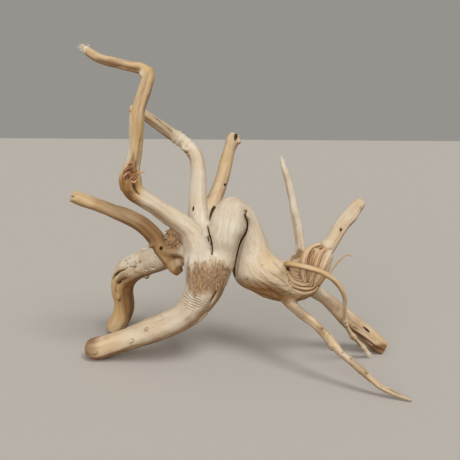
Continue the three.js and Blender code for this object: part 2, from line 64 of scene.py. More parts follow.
# Limbs: points along the heart, thick end to thin, as x, y, height and radius.
# A limb can follow the grain of another that stands before it.
# Warmth is how honey-coloured the wood is at its two ends, from bleached at 0 to the warmest at 1.
LIMBS = {
    "front leg": {
        "flutes": 4, "ridge": 0.02, "warmth": (0.05, 0.5),
        "points": [
            (-19, -2, 108, 10), (-20, -5, 102, 15), (-20, -6.5, 96, 17.4), (-20, -7, 87, 18.4),
            (-23, -9, 75, 16.8), (-30, -10, 62, 14.4), (-40, -9, 50, 12.8), (-56, -8, 40, 12.6),
            (-75, -6, 31, 12), (-94, -4, 22.5, 11.2), (-113, -2, 14.6, 10.9), (-126, -1, 10.2, 11.2),
            (-134, 0, 9.8, 9.4), (-138, 0, 9.8, 6.4),
        ],
    },
    "shoulder": {
        "follows": "front leg", "warmth": (0.1, 0.15),
        "points": [
            (-23, -7, 88, 15.6), (-27, -7, 102, 13.8), (-29, -7, 114, 11.8), (-34.5, -7, 129, 10),
            (-44, -7, 138, 9), (-56, -8, 146, 8.3), (-66, -10, 154, 7.8), (-76, -11, 160, 7.6),
            (-84, -12, 167, 8), (-86, -12, 177, 7.8),
        ],
    },
    "upright": {
        "follows": "shoulder", "flutes": 4, "ridge": 0.1, "twist": 3.5, "warmth": (0.7, 0.75),
        "points": [
            (-85.5, -12, 168, 7.6), (-85.5, -12, 178, 8.6), (-84.5, -12, 187, 6.9), (-82, -11, 195, 5.6),
            (-80.5, -10, 205, 5.6), (-79.5, -9, 219, 5.9), (-78, -8, 233, 5.8), (-74.5, -7, 244.5, 5.6),
            (-70.5, -6, 255, 5.6), (-68.4, -5, 263, 5.4), (-69.6, -4, 268.5, 5),
        ],
    },
    "arm": {
        "follows": "upright", "flutes": 3, "ridge": 0.07, "warmth": (0.8, 0.9),
        "points": [
            (-68.5, -5, 265, 5), (-73, -4, 269.3, 4.8), (-83, -2, 271.2, 4.2), (-96.5, 0, 274.6, 4.3),
            (-109, 2, 277.5, 4.1), (-117, 3, 281.5, 3.9), (-122, 4, 284.6, 3.5), (-125, 4, 286.2, 2.7),
        ],
    },
    "front of the loop": {
        "follows": "front leg", "warmth": (0.05, 0.12),
        "points": [
            (-13.5, -6, 83, 12), (-7, -4, 98, 12), (-4, -3, 111, 12), (-3, -2, 120.5, 14.1),
            (-1.7, 0, 129.5, 15.9), (0, 3, 139, 15.4), (3, 8, 146, 12.9), (8, 13, 147.5, 10),
        ],
    },
    "back of the loop": {
        "follows": "front of the loop", "warmth": (0.15, 0.35),
        "points": [
            (1.5, 8, 145, 12.6), (9.5, 13, 141.5, 12.4), (15.5, 17, 131, 12.8), (19.5, 19, 118, 14.4),
            (21.8, 20, 105, 17.4), (23.5, 18.5, 94, 20.2), (24.5, 17, 84, 20), (26, 16, 74, 15),
            (27, 16, 68.5, 5),
        ],
    },
    "belly": {
        "follows": "back of the loop", "flutes": 3, "ridge": 0.03, "warmth": (0.4, 0.55),
        "points": [
            (14, 20, 94, 12), (25, 16.5, 88.5, 19.2), (40, 9, 81.5, 19.4), (54, 2, 80, 19),
            (66, -4, 84.5, 17),
        ],
    },
    "burl": {
        "follows": "belly", "flutes": 3, "ridge": 0.03, "warmth": (0.5, 0.6),
        "points": [
            (50, 3, 80, 14), (63, -4, 83, 18.6), (70, -7, 89.5, 17.4), (76, -8, 96.5, 15),
            (80.3, -7, 104.7, 13.6), (84, -5, 112, 12),
        ],
    },
    "right stub": {
        "follows": "burl", "warmth": (0.3, 0.5),
        "points": [
            (74, -7, 92, 9), (87, -4, 111.5, 7.8), (94, -2, 120.5, 6.6), (102, 0, 134, 6.4),
            (110, 3, 144, 6.5), (116, 5, 151.7, 5.7), (120.3, 6, 157, 4.9),
        ],
    },
    "left arm": {
        "warmth": (0.95, 0.8),
        "points": [
            (-57, 14, 97.5, 7.5), (-64.5, 16, 107.5, 8), (-73, 17, 119.5, 8.1), (-83, 17, 129.5, 7.8),
            (-94.5, 15, 137, 7.2), (-107, 12, 143, 6.4), (-121.5, 9, 149.5, 6), (-135, 6, 155, 5.9),
            (-144, 4, 158.8, 5.4),
        ],
    },
    "heel of the left arm": {
        "follows": "left arm", "warmth": (0.95, 0.9),
        "points": [
            (-64.5, 16, 107.5, 7), (-57, 14, 97.5, 7.5), (-50.8, 12, 88.5, 6.2), (-47, 10.5, 83.5, 4),
        ],
    },
    "back leg": {
        "follows": "front leg", "warmth": (-0.3, 1.0),
        "points": [
            (-24, 4, 104, 14), (-44, 22, 103, 13.6), (-57, 31, 98, 12.9), (-72.5, 39, 89.7, 12.9),
            (-87, 46, 83, 13.4), (-101, 52, 74.5, 13.7), (-111, 56, 62.5, 12.6), (-114.5, 58, 48, 11.6),
            (-113.5, 59, 33, 10.8), (-116, 58, 19.5, 10.4), (-122, 56, 8.7, 10), (-126, 55, 2, 8.6),
        ],
    },
    "crook": {
        "follows": "front leg", "warmth": (0.0, 0.8),
        "points": [
            (-24, 4, 118, 13), (-29, 17, 138.5, 10), (-29.6, 22, 150, 8.7), (-29.6, 26, 164, 8),
            (-29.7, 29, 178.5, 7.4), (-31.6, 31, 191.5, 6.8), (-37, 33, 200, 6.3), (-45.5, 34, 207.7, 6.1),
            (-56, 34, 214.7, 5.6), (-68.5, 33, 223.3, 5.2), (-80, 32, 231.5, 4.9), (-88.3, 31, 235.7, 4.3),
            (-93, 30, 237.4, 3.3),
        ],
    },
    "rear stub": {
        "follows": "crook", "warmth": (0.5, 0.6),
        "points": [
            (-13.5, 10, 118, 12), (-17.5, 24, 134, 10), (-15.5, 33, 149, 7.8), (-10.6, 38, 162, 7),
            (-6.6, 41, 174.5, 6.6), (-3.6, 44, 187, 6.2), (-0.7, 46, 198.3, 6), (3, 48, 208.3, 6.3),
            (5.2, 49, 213.5, 5),
        ],
    },
    "spike": {
        "follows": "burl", "flutes": 3, "ridge": 0.05, "warmth": (0.0, 0.3),
        "points": [
            (55, 2, 86, 8), (65.4, 11, 100, 6.2), (67.3, 14, 108, 4.8), (65.8, 15, 121.5, 4.3),
            (62, 16, 139.5, 3.9), (58, 18, 158, 3.5), (53.2, 19, 177, 3.2), (49.3, 20, 187.3, 2.4),
            (48.6, 20, 193, 1.3),
        ],
    },
    "long leg": {
        "follows": "belly", "flutes": 3, "ridge": 0.08, "warmth": (0.65, 0.45),
        "points": [
            (48, -2, 78, 9), (57.7, -16, 64.4, 5.2), (66.6, -23, 58.3, 4.2), (75.8, -29, 52.8, 3.9),
            (83, -35, 47, 3.8), (90.5, -40, 39.6, 4), (99.4, -46, 31.2, 3), (109.7, -52, 24, 2.9),
            (120, -57, 16.3, 2.8), (129.6, -61, 9.5, 2.8), (139, -64, 6, 2.6), (146.5, -66.6, 3.4, 1.9),
            (152.5, -69, 2, 1.2), (156.5, -70, 1.4, 0.5),
        ],
    },
    "rear foot": {
        "follows": "burl", "flutes": 3, "ridge": 0.08, "warmth": (0.3, 0.65),
        "points": [
            (68, -4, 82, 9.5), (83, 7, 69, 6.8), (95, 12, 58.8, 6.4), (107, 15, 46.8, 7.2),
            (119, 17, 35, 8.2), (130.5, 18, 24.6, 8.8), (142.4, 19, 14.8, 8.8), (151, 19, 7.4, 8),
            (155.6, 19, 4.6, 6.6),
        ],
    },
    "web": {
        "follows": "left arm", "warmth": (0.95, 0.7),
        "points": [(-63, 13, 105, 5.5), (-51, 9.5, 106.5, 6), (-36, 3, 108, 8)],
    },
}

# Lumps fused into the wood: middle, half sizes, the way the first of them runs, and the way the lump faces.
LUMPS = [
    ((-50, 14, 118), (10, 10, 10), UP, FRONT), ((-84.5, -16, 183), (7.5, 6, 4.5), UP, FRONT),
    ((-73.5, -7, 264.5), (2.4, 2.2, 2.2), UP, FRONT),
    ((-50.2, 34, 211), (1.2, 6.8, 6.6), (-0.8, 0, 0.55), FRONT),
    ((-46.6, 33.8, 208.3), (1.1, 7.2, 7.0), (-0.78, 0, 0.6), FRONT),
    ((-41.4, 33.5, 204), (1.3, 7.4, 7.3), (-0.75, 0, 0.66), FRONT),
    ((-38.2, 32.8, 201), (1.1, 7.2, 7.2), (-0.7, 0, 0.72), FRONT),
    ((-43.5, 28, 200.5), (2.2, 1.6, 1.8), (-0.7, 0, 0.7), FRONT),
    ((-39, 30, 194.5), (2, 1.6, 1.6), UP, FRONT), ((8, 45.5, 206.5), (2.6, 2.4, 2.6), UP, FRONT),
    ((-1.5, 45, 207.5), (3, 2.2, 2.2), UP, FRONT),
    ((17, 1, 84.5), (1.8, 1.8, 4), UP, (-0.25, -0.95, -0.15)),
    ((31, -0.5, 96.5), (1.2, 1.2, 1.8), UP, FRONT),
    ((-73, 10, 111.5), (2.8, 2.6, 4.5), UP, (-0.3, -0.9, 0.2)),
    ((-87, 43, 96.5), (3.4, 3.4, 3.4), UP, FRONT), ((-85, 41, 70), (2.6, 2.6, 2.6), UP, FRONT),
    ((-117, 47, 44), (4, 2.4, 2.2), UP, (-0.2, -0.95, 0)),
    ((-115.3, -7.2, 23.4), (2.2, 1.6, 1.5), (1, 0, 0.4), (-0.3, -0.7, 0.6)),
    ((-90.4, -14.6, 24.8), (2.4, 1.9, 1.9), (1, 0, 0.4), (-0.2, -1, 0.2)),
    ((-75.3, -16.2, 38), (2.2, 1.5, 1.6), (1, 0, 0.4), (-0.3, -0.9, 0.4)),
    ((-61, -11.6, 49.8), (2.2, 1.4, 1.5), (1, 0, 0.4), (-0.4, -0.4, 0.8)),
    ((90.3, -41.5, 38), (3.6, 2.8, 3.4), (0.3, 0, 1), FRONT),
    ((118.2, -57.2, 18.6), (2.6, 1.9, 1.9), (1, 0, -0.7), FRONT),
    ((102.5, -48, 30), (2.2, 1.5, 1.6), (1, 0, -0.8), FRONT),
    ((-126.6, -10, 9.6), (2.4, 1.9, 2), (1, 0, 0), FRONT),
    ((-96, 37, 84.5), (5.5, 2.4, 3.4), (1, 0, 0.4), FRONT),
    ((-110, 42.8, 68.5), (8, 2, 2), (12, -6, 5), (-0.4, -0.9, 0)),
    ((89.4, -39.8, 44), (4.5, 2.4, 2.6), (0.3, 0, -1), FRONT),
    ((72, -26.5, 56.5), (3, 1.8, 1.8), (1, -0.6, -0.6), FRONT),
    ((126, -60, 13), (3, 2, 2), (1, 0, -0.8), FRONT),
]

# Scars of side roots: middle, radius of the dark ring round the pale heart, and how dark it is.
SCARS = [
    ((-115.5, -7.6, 24.8), 1.7, 0.3), ((-90.1, -15.8, 25.6), 2.0, 0.5), ((-75.5, -17.6, 38.8), 1.8, 0.7),
    ((-61.5, -12.6, 50.7), 1.6, 0.35), ((-126.4, -12.1, 10.8), 2.0, 0.4), ((16, -2.6, 84), 1.9, 0.6),
    ((31, -2, 96.5), 1.1, 0.6), ((-39, 28.4, 194.5), 1.3, 0.6), ((-26.5, 14, 139), 1.6, 0.5),
    ((-6, -19, 96), 1.4, 0.4), ((119, 0, 151), 1.2, 0.6), ((-86.5, 40, 97), 2.0, 0.6),
    ((-84.8, 39.3, 69.7), 1.6, 0.5), ((-118.7, 47, 49.1), 1.6, 0.4), ((-117, 45, 42.5), 1.4, 0.5),
    ((-77, 27, 84), 2.6, 0.35), ((-83, 32, 78), 2.2, 0.3), ((-20.5, 14, 158), 0.7, 0.8),
    ((130.5, -63.4, 11), 0.9, 0.6), ((-68, -8.2, 255), 1.0, 0.5),
]

# Worm holes and small pits: middle, and half the width.
PITS = [
    (-106, 43.4, 86, 1.0), (-104.1, 40.4, 83.3, 0.8), (-100.1, 37.6, 81, 0.8), (-95, 35.3, 81.6, 0.9),
    (-95.5, 35.9, 86.9, 0.8), (-93.5, 33.9, 85.5, 0.8), (-89.7, 33.6, 87.1, 0.8),
    (-102.5, 43.3, 88.5, 0.9), (106.2, -50.8, 29.1, 0.8), (117.8, -58.8, 20.2, 0.9),
    (-141.5, -0.8, 158.8, 1.2), (-138, 0.4, 161.2, 0.9), (72, -27.4, 56.8, 0.8), (99, -47.6, 33, 0.7),
]

# Grooves along the grain: limb, where they start and end on it, the side they are on, width and depth.
GROOVES = [
    ("upright", 0.12, 0.6, (-1, -0.7, 0), 1.4, 1.0),
    ("upright", 0.3, 0.98, (0.25, -1, 0), 1.3, 0.9),
    ("upright", 0.05, 0.5, (0.9, -0.6, 0), 1.3, 0.9),
    ("arm", 0.05, 0.8, (0, -1, -0.8), 1.2, 0.8),
    ("arm", 0.1, 0.9, (0, -0.6, 1), 1.2, 0.6),
    ("crook", 0.66, 0.93, (0.4, -0.7, 0.75), 1.1, 1.4),
    ("crook", 0.7, 0.98, (0, -1, -0.6), 1.2, 0.7),
    ("left arm", 0.3, 0.9, (0, -1, 0.6), 1.4, 0.5),
    ("shoulder", 0.45, 0.95, (0.3, -1, 0.3), 1.8, 0.6),
    ("shoulder", 0.5, 1.0, (-0.5, -0.8, -0.6), 1.8, 0.7),
    ("front leg", 0.62, 1.0, (0, -1, -0.7), 1.5, 1.2),
    ("front leg", 0.55, 1.0, (0, -0.75, -1), 1.5, 1.2),
    ("front leg", 0.7, 1.0, (0, -0.5, -1), 1.5, 0.8),
    ("rear foot", 0.5, 1.0, (-0.6, -1, -0.8), 2.2, 2.4),
    ("rear foot", 0.35, 0.95, (0.2, -1, 0.3), 1.3, 0.8),
    ("long leg", 0.72, 1.0, (0, -0.7, 1), 1.0, 0.7),
    ("long leg", 0.1, 0.5, (0, -1, -0.3), 1.1, 0.6),
    ("spike", 0.2, 0.9, (0.2, -1, 0), 1.1, 0.5),
    ("spike", 0.12, 0.6, (-1, -0.75, 0), 1.2, 1.0),
    ("belly", 0.35, 1.0, (-0.2, -1, 0.1), 1.4, 0.7),
    ("belly", 0.3, 1.0, (-0.2, -1, -0.4), 1.4, 0.9),
    ("belly", 0.45, 1.0, (-0.2, -0.8, -0.8), 1.4, 0.9),
    ("belly", 0.55, 1.0, (-0.2, -1, 0.5), 1.4, 0.6),
    ("back leg", 0.55, 0.95, (-0.5, -1, 0), 1.6, 0.8),
    ("right stub", 0.2, 0.95, (0.3, -1, 0), 1.3, 0.6),
    ("rear stub", 0.3, 0.95, (0.2, -1, 0), 1.3, 0.5),
    ("front of the loop", 0.45, 0.85, (-0.4, -1, 0), 1.8, 0.5),
    ("front of the loop", 0.5, 0.95, (0.1, -1, 0), 1.8, 0.45),
]

# Cracks, slits and holes, cut as lenses, with the same four values as the lumps.
CRACKS = [
    ((-15.2, 15, 141), (10, 2.9, 10), (0.2, 0, 1), FRONT),
    ((53.2, -13.2, 98), (3.6, 1.7, 3.6), (0.6, -0.5, -0.9), (-0.5, -0.8, 0.4)),
    ((-13, -21, 76), (9, 0.7, 3.5), (-6.7, -2.2, -12.6), (0.7, -0.7, -0.1)),
    ((-33.3, 11.8, 146.3), (2.2, 0.7, 2.4), (0.1, 0, 1), FRONT),
    ((-4.7, 34.3, 166), (1, 0.9, 2.5), UP, FRONT), ((-63.6, 8.4, 109.2), (1.7, 1.3, 3), UP, FRONT),
    ((100.5, -6.9, 132), (1.3, 0.9, 2.5), (0.3, 0, 1), FRONT),
    ((5.4, 43.2, 211.5), (4.8, 1.4, 2.8), (0.35, 0, 1), (0.3, -0.95, 0.1)),
    ((-117.8, 47.3, 69.8), (4.6, 1.1, 4), (6, -4, 5), (-0.6, -0.6, 0.3)),
    ((-114.3, 44.6, 61.8), (2.6, 1.2, 2.6), (13.7, -3.8, 9), (-0.3, -0.9, -0.1)),
    ((135, 11, 28), (4.3, 0.75, 2.6), (6.3, 0.3, -5.6), (0.3, -0.8, 0.5)),
    ((-149.5, 3, 161), (2.5, 3.4, 3.4), (-0.92, -0.2, 0.37), FRONT),
    ((159.5, 19, 2.5), (2.5, 3.6, 3.6), (0.8, 0, -0.6), FRONT),
]

# Deep seams: their hearts with how deep they are, and how narrow they are for that depth.
# The first lies between the front of the loop and its back, the other between the shoulder and the loop.
SEAMS = [
    (
        [
            (15.6, 3, 145, 3.5), (14.4, 1.5, 142.5, 4), (16.8, 6.5, 136, 6), (16.6, 6.5, 129, 6.5),
            (15.1, 6, 124, 7), (12.1, 6.5, 118.5, 7), (9.5, 8, 112, 7.5), (7.9, 8, 106, 8),
            (6.5, 8, 100, 8), (5.4, 8.5, 94, 8), (4.8, 9.5, 88, 7), (5.4, 10, 82, 5),
        ],
        0.065,
    ),
    (
        [
            (-19.4, -0.5, 131.5, 2), (-17.6, -5, 126.5, 3.5), (-15.9, -8, 120.6, 4),
            (-14.9, -9.8, 114, 3), (-15, -12, 109, 1.5),
        ],
        0.11,
    ),
]

# Fissures that only part the surface: their line on it, with half their width.
FISSURES = [
    [(-82, -20.5, 179, 0.5), (-81.3, -20.6, 176, 1), (-80.9, -19.8, 171, 1), (-79.2, -19, 165.3, 0.4)],
    [
        (35.4, -9.4, 78.3, 0.3), (37.3, -10, 76.9, 0.7), (40.3, -11.1, 74.9, 0.85),
        (43.7, -12.3, 73.6, 0.7), (46.3, -13.5, 73, 0.3),
    ],
    [
        (37.4, -7.2, 92.4, 0.3), (42.5, -10.5, 89.5, 0.45), (46.6, -13.4, 87.4, 0.5),
        (50.6, -17.2, 85.6, 0.6),
    ],
    [
        (28.9, -5.5, 90.3, 0.3), (34.1, -8.3, 85.9, 0.4), (40.1, -11.5, 81.7, 0.5),
        (45.9, -15.1, 78.5, 0.5), (51.7, -17.7, 75.9, 0.4), (56.8, -19.2, 73.8, 0.3),
    ],
    [(26.5, -5.5, 83.5, 0.25), (30.4, -7.2, 81.5, 0.4), (32.1, -7.9, 80.4, 0.5), (36, -9.7, 78.9, 0.3)],
    [
        (42.5, -12.9, 82.2, 0.3), (49.2, -16.9, 78.3, 0.45), (55.8, -19.5, 75.7, 0.45),
        (61.6, -20.9, 74.5, 0.3),
    ],
    [(41.2, 0.5, 99.5, 0.3), (45.2, -6.2, 96.3, 0.4), (49.1, -12.4, 92.9, 0.3)],
    [
        (68.8, 10.2, 113, 0.5), (66.6, 8.2, 108.4, 1.4), (64.2, 5.6, 104.6, 1.7), (61.5, 2.4, 102, 1.5),
        (59, -1, 100.6, 0.6),
    ],
    [(81.4, -36.6, 51.7, 0.4), (82.6, -37.3, 50.2, 0.8), (83.5, -37.9, 49, 0.4)],
    [(87.2, -40.6, 50, 0.4), (88.4, -41.3, 48.4, 0.9), (89.6, -41.8, 46.6, 0.4)],
    [(134.5, -63.7, 9.3, 0.3), (138, -64.7, 8.3, 0.6), (141.2, -65.7, 7, 0.6), (146, -66.8, 5.2, 0.3)],
    [(-71, 30.6, 229.2, 0.5), (-62.3, 29.2, 223, 1.1), (-54, 28.6, 215.8, 0.7)],
    [(78.6, -31.9, 55.1, 0.4), (80.8, -36, 53.4, 0.8), (82.8, -38.6, 51.3, 0.4)],
    [
        (120.4, 10.7, 28.4, 0.7), (127, 10.8, 23.1, 1.3), (133.4, 10.8, 18, 1.7), (142.3, 11, 10.6, 1.9),
        (152, 11.2, 5, 1.8),
    ],
    [(121.4, 9.8, 30.9, 0.4), (124.5, 9.9, 29.3, 0.8), (127.5, 10.1, 27.7, 0.4)],
    [(-31.5, -18.6, 45.3, 0.4), (-29.9, -18.4, 46.6, 0.9), (-28.3, -18.2, 48.2, 0.4)],
    [(-47, 27.8, 203.6, 0.5), (-44, 26.5, 206, 1), (-41.8, 26.5, 208.5, 0.6)],
    [
        (-103.2, 39, 80, 0.4), (-107.2, 41, 77.1, 0.8), (-112.5, 44.3, 73.8, 1.1),
        (-116.3, 46.6, 71, 1.4), (-120, 49.2, 67.5, 1.5), (-122, 51, 63, 0.9),
    ],
    [
        (-104.6, 41, 67.6, 0.4), (-109.5, 42.4, 65.1, 0.9), (-113.4, 44.4, 62.4, 1.4),
        (-116.6, 46.4, 60, 1.2),
    ],
    [(-139, -7, 12, 0.5), (-141.5, -3, 9, 0.9), (-141.5, 3, 9, 0.9), (-139, 7, 12, 0.5)],
    [(-88, -18, 173, 0.4), (-86.5, -18.6, 166, 0.7), (-83, -18, 160, 0.4)],
    [
        (-82.2, -19.3, 177, 0.5), (-81.7, -18.7, 174, 1.1), (-81.1, -18.6, 171, 1.4),
        (-79.9, -18.6, 167.5, 1.2), (-77.4, -18.2, 164.6, 0.6),
    ],
    [(2, -12.5, 150, 0.3), (1.5, -13.8, 145, 0.6), (2, -14.5, 140, 0.3)],
]
# A fissure's depth over half its width.
FISSURE_STEEPNESS = 1.4

# The split face of the burl: slats that arch over its front, and how rusty, dirty and warm each is.
SLATS = [
    (
        [
            (66.1, -22.2, 89, 0.8), (65.9, -22, 93.6, 1.8), (65.6, -21.2, 98.5, 2.5),
            (66.2, -19.8, 103.6, 2.7), (67.2, -17.4, 109.4, 2.7), (69.7, -14, 113.6, 2.5),
            (73.2, -11.6, 116.4, 2.2), (78, -9.6, 118, 1.9), (83, -8, 118.4, 1.2),
        ],
        0.35, 0.0, 0.5,
    ),
    (
        [
            (69.8, -22.6, 89, 0.7), (70.5, -21.2, 97.1, 1.3), (71.8, -19.4, 102.2, 1.5),
            (73.6, -17, 109.2, 1.6), (75.8, -14.4, 113, 1.5), (79.5, -12, 115.6, 1.4),
            (84.5, -9.2, 116.6, 0.8),
        ],
        0.85, 0.35, 0.8,
    ),
    (
        [
            (71.8, -23.3, 86, 0.9), (73, -23.2, 91.2, 1.7), (75.1, -22.3, 97.4, 2.1),
            (77.2, -21, 103.4, 2.3), (79.2, -19.2, 108.9, 2.3), (82, -16.4, 113.6, 2.1),
            (86.6, -11.8, 116.2, 1.3),
        ],
        0.4, 0.05, 0.55,
    ),
    (
        [
            (76.3, -22.2, 83.5, 0.9), (78.3, -22.6, 90.1, 2.1), (80.8, -21.7, 96.3, 2.7),
            (82.9, -20.5, 102.4, 2.9), (85.4, -18.4, 107.6, 2.8), (88.2, -15.8, 112, 2.4),
            (91, -12.2, 113.8, 1.6),
        ],
        0.12, 0.0, 0.3,
    ),
]
SLAT_FACING = (0.0, -0.92, 0.39)
# How thick a slat and a rim are for their width.
SLAT_FLATNESS = 0.6
RIM_FLATNESS = 0.85
# The rims that bend under the slats, as round the lip of a bowl.
RIMS = [
    [(55.4, -14.8, 98.2, 0.8), (57.3, -18.2, 95.6, 1.4), (60.4, -21, 93, 1.5), (63.4, -22.4, 91.6, 1.2)],
    [(57, -16.8, 97.6, 0.6), (60.2, -20, 95.6, 1.2), (63, -21.4, 94.6, 1.0)],
    [
        (53.6, -16.8, 93, 0.9), (56, -19.8, 90.2, 1.5), (58.8, -21.8, 88, 1.8), (64.1, -23.6, 86.4, 1.8),
        (68.5, -24.1, 86, 1.4), (72, -24.2, 87, 0.8),
    ],
    [
        (54.5, -19, 87.6, 0.7), (58.5, -21.9, 84.4, 1.2), (64, -23.6, 82.8, 1.4), (70, -23.8, 82.2, 1.3),
        (76, -22, 83, 0.8),
    ],
    [
        (57.7, -21.8, 81.4, 0.7), (62.5, -23.2, 79.2, 1.2), (68.9, -23.4, 77.9, 1.4),
        (75.6, -21.8, 79, 1.2), (80.4, -20, 83, 0.7),
    ],
]

# Torn strips, curled fibres and splinters, as thin limbs.
STRIPS = [
    [(-3.5, -14.5, 92, 1.4), (-7, -18.2, 81, 2), (-12.5, -20, 70, 2), (-17, -19, 61, 1.0)],
    [(-3, -9, 88, 1.4), (-5.5, -11, 77, 2), (-11, -12, 66, 1.8), (-17, -12, 56, 0.8)],
    [(-19, -18, 56, 1.2), (-27, -16.5, 47, 1.2), (-31, -14.5, 42.5, 0.5)],
    [(-118, 49.5, 59, 1.5), (-113.6, 45.2, 65.8, 2.3), (-107.6, 41.6, 71, 2.5), (-99.5, 40.5, 75, 1.6)],
    [(90.5, -40, 39, 3.2), (91.2, -42.6, 34.5, 2.4), (91.5, -43, 32.5, 1.2)],
]
KNOT_FIBRES = [
    [(-90, -18, 180, 1), (-88, -21, 185, 1.3), (-83.5, -21.5, 188, 1.3), (-80, -18.5, 185, 0.8)],
    [(-87, -20, 175, 1), (-82.5, -21.5, 179, 1.3), (-79, -19.5, 184, 0.8)],
    [(-82, -18, 181, 1.3), (-76, -20.5, 183.5, 0.9), (-71.5, -21.5, 184.5, 0.4)],
    [(-89, -19, 176, 0.9), (-88.5, -21.5, 180.5, 1.1), (-85, -22, 183.5, 1.1), (-81.5, -20.5, 181, 0.7)],
    [(-86, -20, 190, 0.8), (-83, -19.5, 192, 0.9), (-80.5, -17, 190, 0.8)],
    [(-84, -21, 177, 0.8), (-80.5, -21.5, 175.5, 0.9), (-78, -19.5, 178, 0.7)],
]

# The curled root in front of the burl, its knobs, and the hair root behind it.
CURL = [
    (52, -11, 101, 2.6), (53.6, -18, 103.2, 2.6), (56.6, -21.8, 104, 2.5), (65, -26.2, 103.6, 2.5),
    (72.8, -28.2, 102.2, 2.6), (80, -28.8, 99.9, 2.6), (87.1, -28, 96, 2.6), (93.8, -26, 90.8, 2.5),
    (100.4, -23.4, 82.4, 2.4), (104.8, -20, 72.8, 2.2), (106, -16, 61.2, 2.0), (108, -11, 47.3, 1.9),
    (114.5, -6, 33, 2.0), (119.8, -3, 26, 2.3), (124.7, 0, 20, 1.9), (132.5, 4, 10.4, 2.3),
    (137, 6, 4.4, 2.3),
]
CURL_KNOBS = [
    ((109.5, -11.5, 44), (2.6, 2.2, 2), (0.3, 0, -1), FRONT),
    ((118.6, -5, 27.5), (2.8, 2, 2), (0.6, 0, -1), FRONT),
    ((131, 2.4, 12), (2.6, 2.2, 2.2), (0.6, 0, -1), FRONT),
]
TWIG = [
    (82, 8, 76, 2.6), (98, 22, 81.7, 1.1), (107.7, 30, 91, 0.85), (115.8, 34, 96.6, 0.75),
    (121.4, 36, 95.3, 0.4),
]

# Areas with a surface of their own: middle, half sizes, and how ragged the edge is, where it isn't smooth.
BRISTLED_FRONT = ((-17, -20, 92.5), (22, 15, 16.5), 0.45)
WRINKLED_BEND = ((-33, -21, 69.5), (15, 12, 10), 0.3)
FIBROUS_BURL = ((-50, 12, 119), (11, 11, 11), 0.15)
ELBOW_KNOT = ((-83.8, -17, 181), (6.6, 8, 8), 0.25)
TORN_FACE = ((75, -18, 96), (17, 9, 20))
KNOBBLY_LEG = ((-103, 46, 76), (26, 20, 26))
KNOBBLY_THIN_LEG = ((104, -50, 32), (46, 26, 36))
FLAKED_STUB = ((107, 2, 140), (20, 12, 24), 0.3)
# Broken fibre: area, size of its cells, how tall they stand, how dark their sunk edges are painted as shade,
# and their stretch.
FIBROUS_PLACES = [
    (BRISTLED_FRONT, 1.9, 1.4, 0.4, 2.4),
    (FIBROUS_BURL, 3.4, 3.0, 0.2, 1.0),
    (ELBOW_KNOT, 2.4, 1.8, 0.85, 1.0),
]
RUSTY_PLACES = [(ELBOW_KNOT, 0.9), (FIBROUS_BURL, 0.3), (TORN_FACE, 0.2), (BRISTLED_FRONT, 0.1)]

# Where the wood is browner, some of it painted shade, and where it is bleached and frayed, with one painted
# highlight: the area, and how much.
BROWN_AND_SHADED_PLACES = [
    (((-88, -14, 170), (10, 10, 15)), 0.8), (((-72, -22, 178), (8, 8, 8)), 0.4),
    (((-83, -18, 188), (5, 7, 15), 0.3), 0.7), (((-83, 17, 120), (36, 14, 24)), 0.75),
    # The second is painted shade in the gap between the heel of the left arm and the trunk.
    (((-66, 12, 100), (16, 12, 14)), 0.3), (((-47, 8, 86), (6, 6, 7)), 0.9),
    # The first is a painted shadow on the lower back leg, where the trunk shades it.
    (((-103, 50, 42), (12, 16, 36)), 0.75), (((-98, 0, 274), (20, 6, 4), 0.4), 0.5),
    (((-112, 11, 144), (34, 12, 18)), 0.4), (((-20, -20, 88), (26, 15, 17), 0.25), 0.55),
    # Both are painted shade on the spike's base, where it passes behind the burl.
    (((66.5, 6.5, 105), (4.5, 8, 6)), 0.9), (((61.8, 2.5, 101.8), (6, 9, 4.6)), 0.9),
    # The second on this line and the next darken the belly's underside: painted shade, together with
    # browning of the wood.
    (((120, 16, 30), (18, 8, 16)), 0.25), (((24, -2, 74), (24, 16, 12)), 0.6),
    (((150, -67, 4), (10, 5, 5)), 0.2), (((40, -8, 70), (37, 18, 14)), 0.95),
    (((-130, 0, 10), (16, 14, 15)), 0.9), (((-10, -13, 72), (8, 9, 18)), 0.6),
    (((-92, 46, 66), (14, 14, 8)), 0.25), (((1, 0, 147), (14, 18, 12)), 0.12),
    (((66, -22, 59), (14, 10, 9)), 0.5), (((84, -34, 47), (8, 8, 8), 0.4), 0.4),
    (((97, 12, 57), (16, 10, 12), 0.3), 0.4), (((150, 12, 4.5), (13, 9, 9)), 0.95),
    (((-60, -8, 45), (50, 20, 22)), 0.13), (((112, -55, 23), (12, 9, 10), 0.5), 0.35),
    (((-15, -14, 58), (22, 12, 8)), 0.4), (((-52, 8, 107), (15, 11, 10)), 0.5),
]
BLEACHED_AND_HIGHLIT_PLACES = [
    (((-125.5, 4, 286.8), (6.5, 6, 6)), 0.8), (((-73.2, -9, 265.4), (2.6, 3, 3.2)), 0.65),
    (((135, 5, 7), (6, 5, 6)), 0.6), (((49, 20, 190), (3, 4, 8)), 0.5),
    (((-148, 4, 161), (4, 6, 5)), 0.25), (((-86, -14, 226), (3.6, 8, 44)), 0.65),
    # The first of these is a painted highlight on the top of the back leg.
    (((-100, 44, 86), (20, 14, 9), 0.3), 0.8), (((-42, 30, 207), (14, 10, 10), 0.4), 0.6),
]
# Where the wood is more honey-coloured than its limb: the area, and by how much.
WARM_PLACES = [
    (((-86, -12, 168), (13, 13, 22)), 0.75), (((-18, -20, 90), (24, 15, 18), 0.3), 0.45),
    (((72, -20, 92), (24, 16, 26)), 0.2), (((-50, 12, 119), (14, 14, 14)), 0.7),
    (((-108, 50, 45), (16, 18, 40)), 0.3), (((-68, 32, 223), (28, 10, 18)), 0.15),
    (((0, 45, 170), (14, 12, 50)), 0.1),
]

